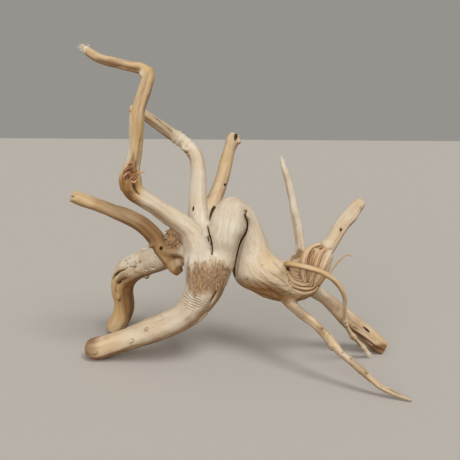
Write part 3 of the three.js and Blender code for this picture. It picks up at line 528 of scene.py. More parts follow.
# In millimetres: the step along a path, then how softly limbs, lumps, grain and cut ends run together.
STEP = 1.0
LIMB_BLEND = 1.3
LUMP_BLEND = 0.5
GRAIN_BLEND = 3.0
EDGE_BLEND = 0.5
WRINKLE_SPACING = 2.8
# How far from a limb its wood is still reckoned with, and the distance that stands for nowhere near.
REACH = 14.0
FAR = 60.0
# Faces that meet at a sharper angle, in degrees, keep their edge.
SMOOTH_ANGLE = 50


def linear(text):
    """An sRGB hex colour as the linear values that a shader takes."""
    parts = [int(text[i:i + 2], 16) / 255 for i in (1, 3, 5)]
    return tuple(c / 12.92 if c <= 0.04045 else ((c + 0.055) / 1.055) ** 2.4 for c in parts)


def unit(rows):
    """Rows of vectors, each made one long."""
    rows = np.asarray(rows, float)
    return rows / np.maximum(np.linalg.norm(rows, axis=-1, keepdims=True), 1e-9)


def smooth_step(low, high, values):
    """0 below low, 1 above high, with a soft rise between."""
    t = np.clip((values - low) / (high - low), 0, 1)
    return t * t * (3 - 2 * t)


def smooth_path(points, step=STEP):
    """Rows of x, y, height and radius on a centripetal Catmull-Rom curve through the points."""
    points = np.array(points, float)
    padded = np.array([2 * points[0] - points[1], *points, 2 * points[-1] - points[-2]])
    gaps = np.linalg.norm(np.diff(padded[:, :3], axis=0), axis=1) ** 0.5
    rows = []
    for i in range(1, len(padded) - 2):
        before, here, after, later = padded[i - 1:i + 3]
        d0, d1, d2 = gaps[i - 1:i + 2]
        leave = ((here - before) / d0 - (after - before) / (d0 + d1) + (after - here) / d1) * d1
        arrive = ((after - here) / d1 - (later - here) / (d1 + d2) + (later - after) / d2) * d1
        count = max(1, ceil(np.linalg.norm((after - here)[:3]) / step))
        t = np.arange(count)[:, None] / count
        rise = 3 * t**2 - 2 * t**3
        bend = leave * (t**3 - 2 * t**2 + t) + arrive * (t**3 - t**2)
        rows.append(here * (1 - rise) + after * rise + bend)
    rows.append(points[-1:])
    path = np.vstack(rows)
    path[:, 3] = np.maximum(path[:, 3], 0.15)
    return path


class Limb:
    """A limb in numbers: its heart, radius, and the two ways across it, so that grain can run along it."""

    def __init__(self, points, flutes=3, ridge=0.04, twist=2.0, warmth=(0.5, 0.5), follows=None):
        path = smooth_path(points)
        self.heart = path[:, :3] + LIST_SHIFT
        self.radius = path[:, 3]
        self.flutes, self.ridge, self.twist, self.warmth = flutes, ridge, twist, warmth
        self.way = unit(np.gradient(self.heart, axis=0))
        walk = np.linalg.norm(np.diff(self.heart, axis=0), axis=1)
        self.along = np.concatenate([[0], np.cumsum(walk)])
        self.length = self.along[-1]
        self.start, self.turn = 0.0, 1.0
        across = np.array([0.0, -1.0, 0.0]) if abs(self.way[0][1]) < 0.9 else np.array([1.0, 0.0, 0.0])
        if follows:
            near = int(np.argmin(np.linalg.norm(follows.heart - self.heart[0], axis=1)))
            self.turn = 1.0 if follows.way[near] @ self.way[0] >= 0 else -1.0
            self.start = follows.start + follows.turn * follows.along[near]
            self.turn *= follows.turn
            across = follows.across[near]
        self.across = np.empty_like(self.heart)
        for i, way in enumerate(self.way):
            across = across - way * (across @ way)
            across = across / np.linalg.norm(across)
            self.across[i] = across
        self.side = np.cross(self.way, self.across) * self.turn

    def nearest_rows(self, places, batch=4000):
        """The number of the heart's row that is nearest to each place."""
        nearest = np.empty(len(places), int)
        for first in range(0, len(places), batch):
            gap = places[first:first + batch, None, :] - self.heart[None, :, :]
            nearest[first:first + batch] = np.argmin((gap**2).sum(axis=2), axis=1)
        return nearest

    def beside(self, places):
        """How far outside the limb each place is, the way out, its place in the grain, and how far along."""
        nearest = self.nearest_rows(places)
        way = self.way[nearest]
        slip = ((places - self.heart[nearest]) * way).sum(axis=1)
        last = len(self.heart) - 1
        inner = (nearest > 0) & (nearest < last)
        slip = np.where(inner, np.clip(slip, -STEP, STEP), slip)
        spot = self.heart[nearest] + way * slip[:, None]
        out = places - spot
        far = np.linalg.norm(out, axis=1)
        along = self.along[nearest] + slip
        u = (out * self.across[nearest]).sum(axis=1)
        v = (out * self.side[nearest]).sum(axis=1)
        part = np.clip(along / self.length, 0, 1)
        radius = np.interp(along, self.along, self.radius)
        radius = radius * (1 + self.ridge * np.cos(self.flutes * np.arctan2(v, u) + self.twist * part))
        flank = far - radius
        beyond = np.maximum(along - self.length, -along)
        grow = np.exp(np.clip(flank / EDGE_BLEND, -60, 60))
        cap = np.exp(np.clip(beyond / EDGE_BLEND, -60, 60))
        depth = EDGE_BLEND * np.log(grow + cap)
        facing = np.where((along > self.length / 2)[:, None], way, -way)
        direction = (unit(out) * grow[:, None] + facing * cap[:, None]) / (grow + cap)[:, None]
        grain = np.stack([u, v, self.start + self.turn * along], axis=1)
        return depth, direction, grain, part

    def around(self, places, facing):
        """How far round the limb each place is, in millimetres, from the side that faces a direction."""
        nearest = self.nearest_rows(places)
        way = self.way[nearest]
        out = places - self.heart[nearest]
        out = unit(out - way * (out * way).sum(axis=1)[:, None])
        side = unit(np.array(facing, float))
        side = unit(side - way * (way @ side)[:, None])
        turn = np.arctan2((np.cross(side, out) * way).sum(axis=1), (side * out).sum(axis=1))
        return turn * self.radius[nearest], self.along[nearest] / self.length


def within(places, low, high):
    """The numbers of the places that lie in a box."""
    return np.flatnonzero(((places > low) & (places < high)).all(axis=1))


def near_line(places, heart, reach):
    """The numbers of the places that lie in the box round a line, or within reach of it."""
    return within(places, heart.min(axis=0) - reach, heart.max(axis=0) + reach)


def lens_axes(along, facing):
    """The three unit directions of a lump or crack: along it, across it and outwards."""
    up = unit(along)
    out = np.array(facing, float)
    out = unit(out - up * (out @ up))
    return np.stack([up, np.cross(up, out), out])


def lens_depth(places, lens):
    """How far each place lies outside an egg-shaped lump, and the way out of it."""
    middle, sizes, along, facing = lens
    axes = lens_axes(along, facing)
    sizes = np.array(sizes, float)
    local = (places - np.array(middle) - LIST_SHIFT) @ axes.T
    near = np.linalg.norm(local / sizes, axis=1)
    steep = np.linalg.norm(local / sizes**2, axis=1)
    depth = near * (near - 1) / np.maximum(steep, 1e-6)
    return depth, unit(local / sizes**2) @ axes


def survey(places, limbs, lumps=()):
    """How far each place lies outside the wood, the way out, its place in the grain, and its warmth."""
    total = np.full(len(places), np.exp(-FAR / LIMB_BLEND))
    out = np.zeros((len(places), 3))
    pull = np.full(len(places), 1e-12)
    grain = np.zeros((len(places), 3))
    warmth = np.zeros(len(places))
    for limb in limbs:
        index = near_line(places, limb.heart, limb.radius.max() + REACH)
        if not len(index):
            continue
        depth, direction, place, part = limb.beside(places[index])
        weight = np.exp(-np.clip(depth, -30, FAR) / LIMB_BLEND)
        total[index] += weight
        out[index] += direction * weight[:, None]
        weight = np.exp(-np.clip(depth, -30, FAR) / GRAIN_BLEND)
        pull[index] += weight
        grain[index] += place * weight[:, None]
        warmth[index] += (limb.warmth[0] + (limb.warmth[1] - limb.warmth[0]) * part) * weight
    depth = -LIMB_BLEND * np.log(total)
    out /= total[:, None]
    for lump in lumps:
        spread = max(lump[1]) + 3
        middle = np.array(lump[0]) + LIST_SHIFT
        index = within(places, middle - spread, middle + spread)
        if not len(index):
            continue
        far, direction = lens_depth(places[index], lump)
        wood, knob = np.exp(-depth[index] / LUMP_BLEND), np.exp(-far / LUMP_BLEND)
        share = (knob / (wood + knob))[:, None]
        depth[index] = -LUMP_BLEND * np.log(wood + knob)
        out[index] = out[index] * (1 - share) + direction * share
    return depth, out, grain / pull[:, None], warmth / pull


def settle(places, limbs, lumps, rounds=3):
    """Moves each place onto the surface that the limbs and lumps make together."""
    for _ in range(rounds):
        depth, out, _, _ = survey(places, limbs, lumps)
        steep = np.maximum((out**2).sum(axis=1), 0.35)
        step = np.clip(depth / steep, -1.6, 1.6)
        places = places - out * step[:, None]
    return places


def rough(places, sizes, seed=0.0):
    """Noise from about -1 to 1, with lumps of the given sizes along each axis."""
    scaled = places / np.array(sizes, float) + seed
    return np.array([noise.fractal(Vector(p), 1.0, 2.0, 2) for p in scaled])


def cells(places, size):
    """0 at the middle of each cell of broken fibre, and about 1 at its edge."""
    return np.array([noise.voronoi(Vector(p))[0][0] for p in places / size])


def region(places, area):
    """1 in the middle of an area and 0 past its edge, which is as ragged as the area's third value says."""
    middle, sizes = np.array(area[0]) + LIST_SHIFT, np.array(area[1], float)
    far = np.linalg.norm((places - middle) / sizes, axis=1)
    if len(area) > 2:
        index = np.flatnonzero(far < 1.6)
        far[index] += area[2] * rough(places[index], (4.5, 4.5, 11), seed=4)
    return 1 - smooth_step(0.65, 1.1, far)


def mesh_places(piece):
    """A mesh's vertices in millimetres."""
    flat = np.empty(len(piece.data.vertices) * 3)
    piece.data.vertices.foreach_get("co", flat)
    return flat.reshape(-1, 3) / MM


def mesh_normals(piece):
    """The way out at each of a mesh's vertices."""
    flat = np.empty(len(piece.data.vertices) * 3)
    piece.data.vertex_normals.foreach_get("vector", flat)
    return flat.reshape(-1, 3)


def put_places(piece, places):
    """Moves a mesh's vertices to places in millimetres."""
    piece.data.vertices.foreach_set("co", (places * MM).ravel())
    piece.data.update()


def mark(piece, name, values):
    """Keeps a value for each vertex under a name that the material reads."""
    kind = "FLOAT_VECTOR" if values.ndim == 2 else "FLOAT"
    layer = piece.data.attributes.new(name, kind, "POINT")
    layer.data.foreach_set("vector" if values.ndim == 2 else "value", values.ravel().astype(np.float32))


def deselect():
    """Leaves no object selected, because an operator acts on all that are."""
    for thing in bpy.context.selected_objects:
        thing.select_set(False)


def join(things, name):
    """Makes one object of several."""
    deselect()
    for thing in things:
        thing.select_set(True)
    bpy.context.view_layer.objects.active = things[0]
    if len(things) > 1:
        bpy.ops.object.join()
    piece = bpy.context.object
    piece.name = piece.data.name = name
    return piece


def apply_modifier(piece, kind, **settings):
    """Adds a modifier with its settings and applies it."""
    deselect()
    bpy.context.view_layer.objects.active = piece
    piece.select_set(True)
    bpy.ops.object.modifier_add(type=kind)
    modifier = piece.modifiers[-1]
    for name, value in settings.items():
        setattr(modifier, name, value)
    bpy.ops.object.modifier_apply(modifier=modifier.name)


def tube(heart, radius, sides=4):
    """A round tube of wood along a heart line, closed at its ends."""
    deselect()
    bpy.ops.curve.primitive_nurbs_path_add()
    curve = bpy.context.object
    data = curve.data
    data.splines.clear()
    spline = data.splines.new("POLY")
    spline.points.add(len(heart) - 1)
    ends = np.column_stack([heart * MM, np.ones(len(heart))])
    spline.points.foreach_set("co", ends.ravel())
    spline.points.foreach_set("radius", radius * MM)
    data.dimensions = "3D"
    data.bevel_depth = 1
    data.bevel_resolution = sides
    data.use_fill_caps = True
    bpy.ops.object.convert(target="MESH")
    bpy.ops.object.mode_set(mode="EDIT")
    bpy.ops.mesh.select_all(action="SELECT")
    bpy.ops.mesh.remove_doubles(threshold=1e-6)
    bpy.ops.mesh.normals_make_consistent(inside=False)
    bpy.ops.object.mode_set(mode="OBJECT")
    return bpy.context.object


def lens(shape, waviness=0.0):
    """An egg-shaped body at its place: a lump to join, or a crack to cut."""
    middle, sizes, along, facing = shape
    deselect()
    bpy.ops.mesh.primitive_uv_sphere_add(segments=24, ring_count=16, radius=1)
    egg = bpy.context.object
    places = mesh_places(egg) * MM
    axes = lens_axes(along, facing)
    local = places[:, [2, 1, 0]] * np.array(sizes)
    if waviness:
        local[:, 1] += waviness * rough(local[:, :1] * [1, 0, 0] + middle[0], (5, 5, 5))
    put_places(egg, local @ axes + np.array(middle) + LIST_SHIFT)
    return egg


def select_faces(piece, chosen):
    """Selects the faces whose middle the test picks, and no loose edge or vertex."""
    mesh = piece.data
    middles = np.empty(len(mesh.polygons) * 3)
    mesh.polygons.foreach_get("center", middles)
    mesh.polygons.foreach_set("select", chosen(middles.reshape(-1, 3) / MM))
    mesh.edges.foreach_set("select", np.zeros(len(mesh.edges), bool))
    mesh.vertices.foreach_set("select", np.zeros(len(mesh.vertices), bool))


def groove_field(places, limbs):
    """How deep the grooves are at each place, in millimetres."""
    depth = np.zeros(len(places))
    for i, (name, first, last, facing, width, deep) in enumerate(GROOVES):
        limb = limbs[name]
        index = near_line(places, limb.heart, limb.radius.max() + 3)
        some = places[index]
        near, _, _, _ = limb.beside(some)
        off, part = limb.around(some, facing)
        line = np.column_stack([part * limb.length, 0 * part, 0 * part])
        wander = 1.6 * rough(line, (22, 1, 1), seed=i * 7.3)
        profile = np.exp(-(((off + wander) / width) ** 2))
        fade = smooth_step(first, first + 0.12, part) * (1 - smooth_step(last - 0.12, last, part))
        held = 1 - smooth_step(1.5, 3.5, np.abs(near))
        depth[index] = np.maximum(depth[index], deep * profile * fade * held)
    return depth


def path_distance(places, path, reach):
    """Which places are near a line, how far each is from it, and the line's row nearest to it."""
    heart = path[:, :3] + LIST_SHIFT
    index = near_line(places, heart, reach)
    gap = places[index][:, None, :] - heart[None, :, :]
    off = np.linalg.norm(gap, axis=2)
    return index, off.min(axis=1), off.argmin(axis=1)


def fissure_field(places):
    """How deep the fissures are at each place, in millimetres, and how dark they are painted inside as
    shade.
    """
    depth, dark = np.zeros(len(places)), np.zeros(len(places))
    for points in FISSURES + [[pit, (pit[0] + 0.3, *pit[1:])] for pit in PITS]:
        path = smooth_path(points, 0.5)
        index, off, near = path_distance(places, path, 4)
        wide = path[near, 3]
        depth[index] = np.maximum(depth[index], FISSURE_STEEPNESS * wide * np.exp(-((off / wide) ** 2)))
        edge = 1 - smooth_step(0.5, 1.5, off / (wide + 0.15))
        dark[index] = np.maximum(dark[index], edge * np.clip(wide / 0.9, 0.3, 0.9))
    return depth, dark


def under_strands(places, lists, margin):
    """1 where thin strands lie over the wood, and 0 past their edge and a margin."""
    cover = np.zeros(len(places))
    for points in lists:
        path = smooth_path(points)
        index, off, near = path_distance(places, path, 7)
        over = 1 - smooth_step(0.6, 1.25, off / (path[near, 3] + margin))
        cover[index] = np.maximum(cover[index], over)
    return cover


def scar_rings(places):
    """For each scar: radius, darkness, each place's distance in radii, and the ring, dark on one side."""
    for i, (middle, radius, dark) in enumerate(SCARS):
        turn = 1.7 * i
        off = places - np.array(middle) - LIST_SHIFT
        far = np.linalg.norm(off, axis=1) / radius
        side = off @ np.array([sin(turn), 0.0, -cos(turn)]) / np.maximum(far * radius, 0.1)
        yield radius, dark, far, np.exp(-(((far - 0.95) / 0.38) ** 2)) * (0.55 + 0.45 * side)


def fibre_cells(places):
    """For each fibrous area: the places in it, how much, its height and darkness, and its cells."""
    for area, size, high, dark, stretch in FIBROUS_PLACES:
        strength = region(places, area)
        index = np.flatnonzero(strength > 0.01)
        yield index, strength[index], high, dark, cells(places[index] / np.array([1, 1, stretch]), size)


def relief(places, grain, limbs):
    """How far the surface stands out at each place: grain, grooves, scars, bristles, wrinkles and burrs."""
    height = 0.55 * rough(places, (16, 16, 16))
    height += 0.9 * region(places, KNOBBLY_LEG) * rough(places, (8, 8, 8), seed=3)
    height += 0.55 * region(places, KNOBBLY_THIN_LEG) * rough(places, (4.5, 4.5, 6), seed=9)
    height += 0.4 * region(places, FLAKED_STUB) * rough(grain, (2.4, 2.4, 7), seed=6)
    height += 0.24 * rough(grain, (3.2, 3.2, 45), seed=11)
    height += 0.12 * rough(grain, (1.5, 1.5, 24), seed=23)
    height -= groove_field(places, limbs)
    height -= fissure_field(places)[0]
    height -= 1.1 * under_strands(places, [slat[0] for slat in SLATS], 0.8)
    height -= 0.7 * under_strands(places, RIMS, 0.7)
    for seam, _ in SEAMS:
        height -= 1.1 * seam_mask(places, seam, 0.3)
    for index, strength, high, _, gap in fibre_cells(places):
        height[index] += strength * high * (0.45 - gap)
    height += 0.6 * region(places, WRINKLED_BEND) * wrinkle(places)
    for radius, _, far, ring in scar_rings(places):
        height += 0.22 * radius * np.exp(-((far / 0.55) ** 2)) - 0.35 * radius * ring
    return height


def wrinkle(places):
    """Ridges that run across the bend, falling to the right: 1 on a ridge and -1 between two."""
    local = places - np.array(WRINKLED_BEND[0]) - LIST_SHIFT
    wave = (local[:, 2] + 0.45 * local[:, 0]) / WRINKLE_SPACING + 0.7 * rough(places, (9, 9, 9), seed=2)
    return 1 - 2 * np.abs(np.sin(pi * wave))


def stains_and_painted_shade(places, limbs):
    """Painted shade in the grooves, fissures, pits, cracks, seams and wrinkles, under the slats and rims and
    at the sunk edges of broken fibre, dark rings round the scars, and the rust colour of torn, fibrous wood.
    """
    # Painted shade: the wood is darkened deep in grooves, fissures, pits, cracks and seams, under the slats
    # and rims, at the sunk edges of broken fibre and in the troughs of the wrinkles.
    dirt_and_shade = 0.5 * np.clip(groove_field(places, limbs) / 1.5, 0, 1) ** 1.5
    dirt_and_shade = np.maximum(dirt_and_shade, 0.95 * fissure_field(places)[1])
    dirt_and_shade = np.maximum(dirt_and_shade, 0.65 * under_strands(places, [slat[0] for slat in SLATS], 0.6))
    dirt_and_shade = np.maximum(dirt_and_shade, 0.7 * under_strands(places, RIMS, 0.6))
    for shape in CRACKS:
        spread = max(shape[1]) + 2
        middle = np.array(shape[0]) + LIST_SHIFT
        index = within(places, middle - spread, middle + spread)
        local = (places[index] - middle) @ lens_axes(shape[2], shape[3]).T / (np.array(shape[1]) + 0.25)
        dirt_and_shade[index] = np.maximum(dirt_and_shade[index], 1 - smooth_step(0.85, 1.12, np.linalg.norm(local, axis=1)))
    for _, dark, _, ring in scar_rings(places):
        dirt_and_shade = np.maximum(dirt_and_shade, dark * ring)
    for seam, narrowing in SEAMS:
        dirt_and_shade = np.maximum(dirt_and_shade, seam_mask(places, seam, narrowing))
    rust = 0.0
    for area, strong in RUSTY_PLACES:
        rust = np.maximum(rust, strong * region(places, area))
    for index, strength, _, dark, gap in fibre_cells(places):
        dirt_and_shade[index] = np.maximum(dirt_and_shade[index], dark * strength * smooth_step(0.3, 0.7, gap))
    dirt_and_shade = np.maximum(dirt_and_shade, 0.22 * region(places, WRINKLED_BEND) * smooth_step(0.1, 0.9, -wrinkle(places)))
    return dirt_and_shade, rust


def seam_middle(places, seam):
    """The seam's x, y and depth at each place's height, and its heart."""
    path = smooth_path(seam)
    heart = path[:, :3] + LIST_SHIFT
    order = np.argsort(heart[:, 2])
    middle = [np.interp(places[:, 2], heart[order, 2], heart[order, i]) for i in (0, 1)]
    return middle[0], middle[1], np.interp(places[:, 2], heart[order, 2], path[order, 3]), heart


def seam_cutter(seam, narrowing):
    """The blade that cuts a seam: a tube squeezed flat from left to right, along its wavy heart."""
    path = smooth_path(seam)
    blade = tube(path[:, :3] + LIST_SHIFT, path[:, 3], sides=6)
    places = mesh_places(blade)
    middle = seam_middle(places, seam)[0]
    places[:, 0] = middle + (places[:, 0] - middle) * narrowing
    put_places(blade, places)
    return blade


def seam_mask(places, seam, narrowing):
    """1 deep in a seam, 0 outside it."""
    x, y, radius, heart = seam_middle(places, seam)
    inside = (heart[:, 2].min() - 2 < places[:, 2]) & (places[:, 2] < heart[:, 2].max() + 2)
    off = np.abs(places[:, 0] - x) / (radius * narrowing + 0.5)
    deep = np.abs(places[:, 1] - y) / (radius + 1)
    return np.where(inside, 1 - smooth_step(0.8, 1.3, np.maximum(off, deep)), 0.0)


def weathering_and_painted_shade(places, normals):
    """How brown the wood is, with painted shade where it faces down and where it lies in shadow, and how
    bleached it is at its frayed tips, with one painted highlight.
    """
    # Painted shade: wood that faces down is darkened, which also stands for the browner undersides of the
    # wood.
    brown = 0.9 * smooth_step(-0.15, 0.75, -normals[:, 2])
    # Some of these places are painted shade: the lower back leg, the spike's base, the heel's gap and the
    # belly's underside.
    for area, strong in BROWN_AND_SHADED_PLACES:
        brown = brown + strong * region(places, area) * (1 - brown)
    bleach_and_highlight = np.zeros(len(places))
    # One of these places is a painted highlight, on the top of the back leg.
    for area, strong in BLEACHED_AND_HIGHLIT_PLACES:
        bleach_and_highlight = np.maximum(bleach_and_highlight, strong * region(places, area))
    return brown, bleach_and_highlight


def finish_wood(piece, limbs, dirt_and_shade=0.0, rust=0.0, bleach_and_highlight=0.0):
    """Marks the grain, the stained and rusty wood, the painted shade and the painted highlight on a piece,
    shades it smooth, and declares what it stands for.
    """
    places = mesh_places(piece)
    _, _, grain, warmth = survey(places, limbs)
    warmth = warmth + sum(more * region(places, area) for area, more in WARM_PLACES)
    brown, pale = weathering_and_painted_shade(places, mesh_normals(piece))
    mark(piece, "grain_place", grain * MM)
    mark(piece, "warmth", warmth)
    mark(piece, "brown", brown)
    mark(piece, "dirt_and_shade", dirt_and_shade + np.zeros(len(places)))
    mark(piece, "rust", rust + np.zeros(len(places)))
    mark(piece, "bleach_and_highlight", np.maximum(pale, bleach_and_highlight))
    deselect()
    piece.select_set(True)
    bpy.context.view_layer.objects.active = piece
    bpy.ops.object.shade_smooth_by_angle(angle=radians(SMOOTH_ANGLE))
    piece.data.materials.clear()
    piece.data.materials.append(peeled_dried_root())
    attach(piece, "root")
    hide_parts("driftwood")


def grown_limbs():
    """The limbs in numbers, each following the grain of the one that it grows out of."""
    limbs = {}
    for name, says in LIMBS.items():
        settings = {key: value for key, value in says.items() if key not in ("points", "follows")}
        limbs[name] = Limb(says["points"], follows=limbs.get(says.get("follows")), **settings)
    return limbs


def add_node(tree, kind, settings=None, links=None):
    """Adds a node, sets its properties and inputs, and links other nodes' sockets into its inputs."""
    node = tree.nodes.new(kind)
    for name, value in (settings or {}).items():
        if name in node.bl_rna.properties.keys():
            setattr(node, name, value)
        else:
            node.inputs[name].default_value = value
    for name, source in (links or {}).items():
        tree.links.new(source, node.inputs[name])
    return node


def peeled_dried_root():
    """Root wood, peeled of its bark, washed and dried in the sun.

    The eye sees a matt, pale skin with fine darker fibre along each limb, honey-coloured wood where it is
    less bleached, dark rings round the scars, and rusty, rough fibre where it is torn. Painted shade darkens
    the cracks, seams and grooves and the wood that faces down, and one painted highlight lights the back
    leg.
    """
    made = bpy.data.materials.get("peeled dried root")
    if made:
        return made
    look = bpy.context.scene.driftwood
    made = bpy.data.materials.new("peeled dried root")
    made.use_nodes = True
    tree = made.node_tree
    tree.nodes.clear()
    here = add_node(tree, "ShaderNodeTexCoord").outputs["Object"]
    place = add_node(tree, "ShaderNodeAttribute", {"attribute_name": "grain_place"}).outputs["Vector"]
    amounts = {}
    for name in ("warmth", "brown", "dirt_and_shade", "rust", "bleach_and_highlight"):
        amounts[name] = add_node(tree, "ShaderNodeAttribute", {"attribute_name": name}).outputs["Fac"]

    # Patterns that run along the grain: their size across the fibre and along it, in millimetres.
    for name, across, along, detail in (
        ("fibre", 1.6, 34, 3), ("broad", 4.5, 60, 2), ("pores", 0.55, 5, 1),
    ):
        size = (1 / (across * MM), 1 / (across * MM), 1 / (along * MM))
        stretched = add_node(tree, "ShaderNodeMapping", {"Scale": size}, {"Vector": place})
        settings = {"Scale": 1.0, "Detail": detail, "Roughness": 0.6}
        links = {"Vector": stretched.outputs["Vector"]}
        amounts[name] = add_node(tree, "ShaderNodeTexNoise", settings, links).outputs["Fac"]
    # Blotches, with their size in millimetres.
    for name, size, detail in (("patches", 45, 3), ("mottle", 9, 4)):
        settings = {"Scale": 1 / (size * MM), "Detail": detail}
        amounts[name] = add_node(tree, "ShaderNodeTexNoise", settings, {"Vector": here}).outputs["Fac"]

    # How strongly each pattern shows: the part of it that counts, and the amounts which that part becomes.
    for name, pattern, low, high, least, most in (
        ("warm patches", "patches", 0.35, 0.65, -0.22, 0.22), ("streaks", "broad", 0.42, 0.7, 0, 0.45),
        ("fine streaks", "fibre", 0.5, 0.72, 0, 0.6), ("grey spots", "mottle", 0.5, 0.75, 0, 0.25),
        ("open pores", "pores", 0.66, 0.74, 0, 0.35), ("brown streaks", "broad", 0.3, 0.6, 0.75, 1),
        ("torn streaks", "fibre", 0.48, 0.7, 0, 1), ("rust spots", "mottle", 0.3, 0.6, 0.55, 1),
        ("dullness", "fibre", 0.3, 0.7, 0.6, 0.85), ("pore depth", "pores", 0, 1, 0, -0.5),
    ):
        settings = {"From Min": low, "From Max": high, "To Min": least, "To Max": most}
        links = {"Value": amounts[pattern]}
        amounts[name] = add_node(tree, "ShaderNodeMapRange", settings, links).outputs["Result"]
    for name, operation, one, other in (
        # The browning amount also carries painted shade where the wood faces down and where it lies in
        # shadow.
        ("warm", "ADD", "warmth", "warm patches"), ("browned_and_shaded", "MULTIPLY", "brown", "brown streaks"),
        ("rusty", "MULTIPLY", "rust", "rust spots"), ("relief", "ADD", "fibre", "pore depth"),
    ):
        settings = {"operation": operation, "use_clamp": name == "warm"}
        links = {0: amounts[one], 1: amounts[other]}
        amounts[name] = add_node(tree, "ShaderNodeMath", settings, links).outputs[0]

    # Colours, each laid over another by an amount. The last of them is what the eye sees.
    colours = {}
    for name, amount, under, over, kind in (
        ("skin", "warm", "bleached", "honey", "MIX"),
        ("shade", "warm", "bleached_fibre", "honey_fibre", "MIX"),
        ("torn wood", "torn streaks", "torn", "torn_fibre", "MIX"),
        ("wood", "streaks", "skin", "shade", "MIX"),
        ("wood", "fine streaks", "wood", "shade", "MIX"), ("wood", "grey spots", "wood", "grey", "MIX"),
        # The browning layer also lays painted shade where the wood faces down and where it lies in shadow.
        ("wood", "open pores", "wood", "dirt_and_shade", "MIX"), ("wood", "browned_and_shaded", "wood", "brown", "MULTIPLY"),
        # The frayed layer also paints a highlight on the top of the back leg.
        ("wood", "rusty", "wood", "torn wood", "MIX"), ("wood", "bleach_and_highlight", "wood", "frayed", "MIX"),
        # The last layer lays the dark colour as painted shade in cracks, seams, grooves and under the slats
        # and rims, and as dark scar rings.
        ("wood", "dirt_and_shade", "wood", "dirt_and_shade", "MIX"),
    ):
        settings, links = {"data_type": "RGBA", "blend_type": kind}, {0: amounts[amount]}
        for socket, source in ((6, under), (7, over)):
            if source in colours:
                links[socket] = colours[source]
            else:
                settings[socket] = (*getattr(look, source), 1)
        colours[name] = add_node(tree, "ShaderNodeMix", settings, links).outputs[2]

    settings = {"Strength": 0.55, "Distance": 0.35 * MM}
    bump = add_node(tree, "ShaderNodeBump", settings, {"Height": amounts["relief"]})
    surface = add_node(
        tree, "ShaderNodeBsdfPrincipled", {"IOR": 1.45, "Specular IOR Level": 0.35},
        {"Base Color": colours["wood"], "Roughness": amounts["dullness"], "Normal": bump.outputs["Normal"]},
    )
    add_node(tree, "ShaderNodeOutputMaterial", links={"Surface": surface.outputs["BSDF"]})
    return made


def colour(name, says, value):
    """A colour setting, from its sRGB hex value."""
    return FloatVectorProperty(
        name=name, description=says, subtype="COLOR", size=3, min=0, max=1, default=linear(value),
    )


class DriftwoodSettings(PropertyGroup):
    """What a user would change: how fine the wood is drawn, and its colours."""

    cell: FloatProperty(
        name="Cell", description="Size of the cells in which the limbs are fused",
        default=1.3 * MM, min=0.8 * MM, unit="LENGTH",
    )
    bristles: IntProperty(
        name="Bristles", description="Broken fibres on the front of the trunk", default=340, min=0,
    )
    bleached: colour("Bleached wood", "The palest wood, on the loop and the shoulder", "#e3d9c8")
    bleached_fibre: colour("Bleached fibre", "Streaks in the palest wood", "#c8b79a")
    honey: colour("Honey wood", "The warmest wood, on the arms and feet", "#d4b07c")
    honey_fibre: colour("Honey fibre", "Streaks in the warmest wood", "#a37d4d")
    grey: colour("Weathered grey", "Blotches of weathering", "#c2b39a")
    # Also the colour of painted shade where the wood faces down and where it lies in shadow.
    brown: colour("Browned wood", "What deepens the wood where it faces down and at its bends", "#967036")
    torn: colour("Torn wood", "Fresh wood inside the burl and the knot", "#d2a074")
    torn_fibre: colour("Torn fibre", "Dark streaks in torn wood", "#87502b")
    # Also the colour of one painted highlight, on the top of the back leg.
    frayed: colour("Frayed tips", "Bleached loose fibres", "#eadcc6")
    # Also the colour of painted shade in grooves, fissures, cracks and seams and under the slats and rims.
    dirt_and_shade: colour("Dirt", "The dark brown in cracks", "#4c3019")


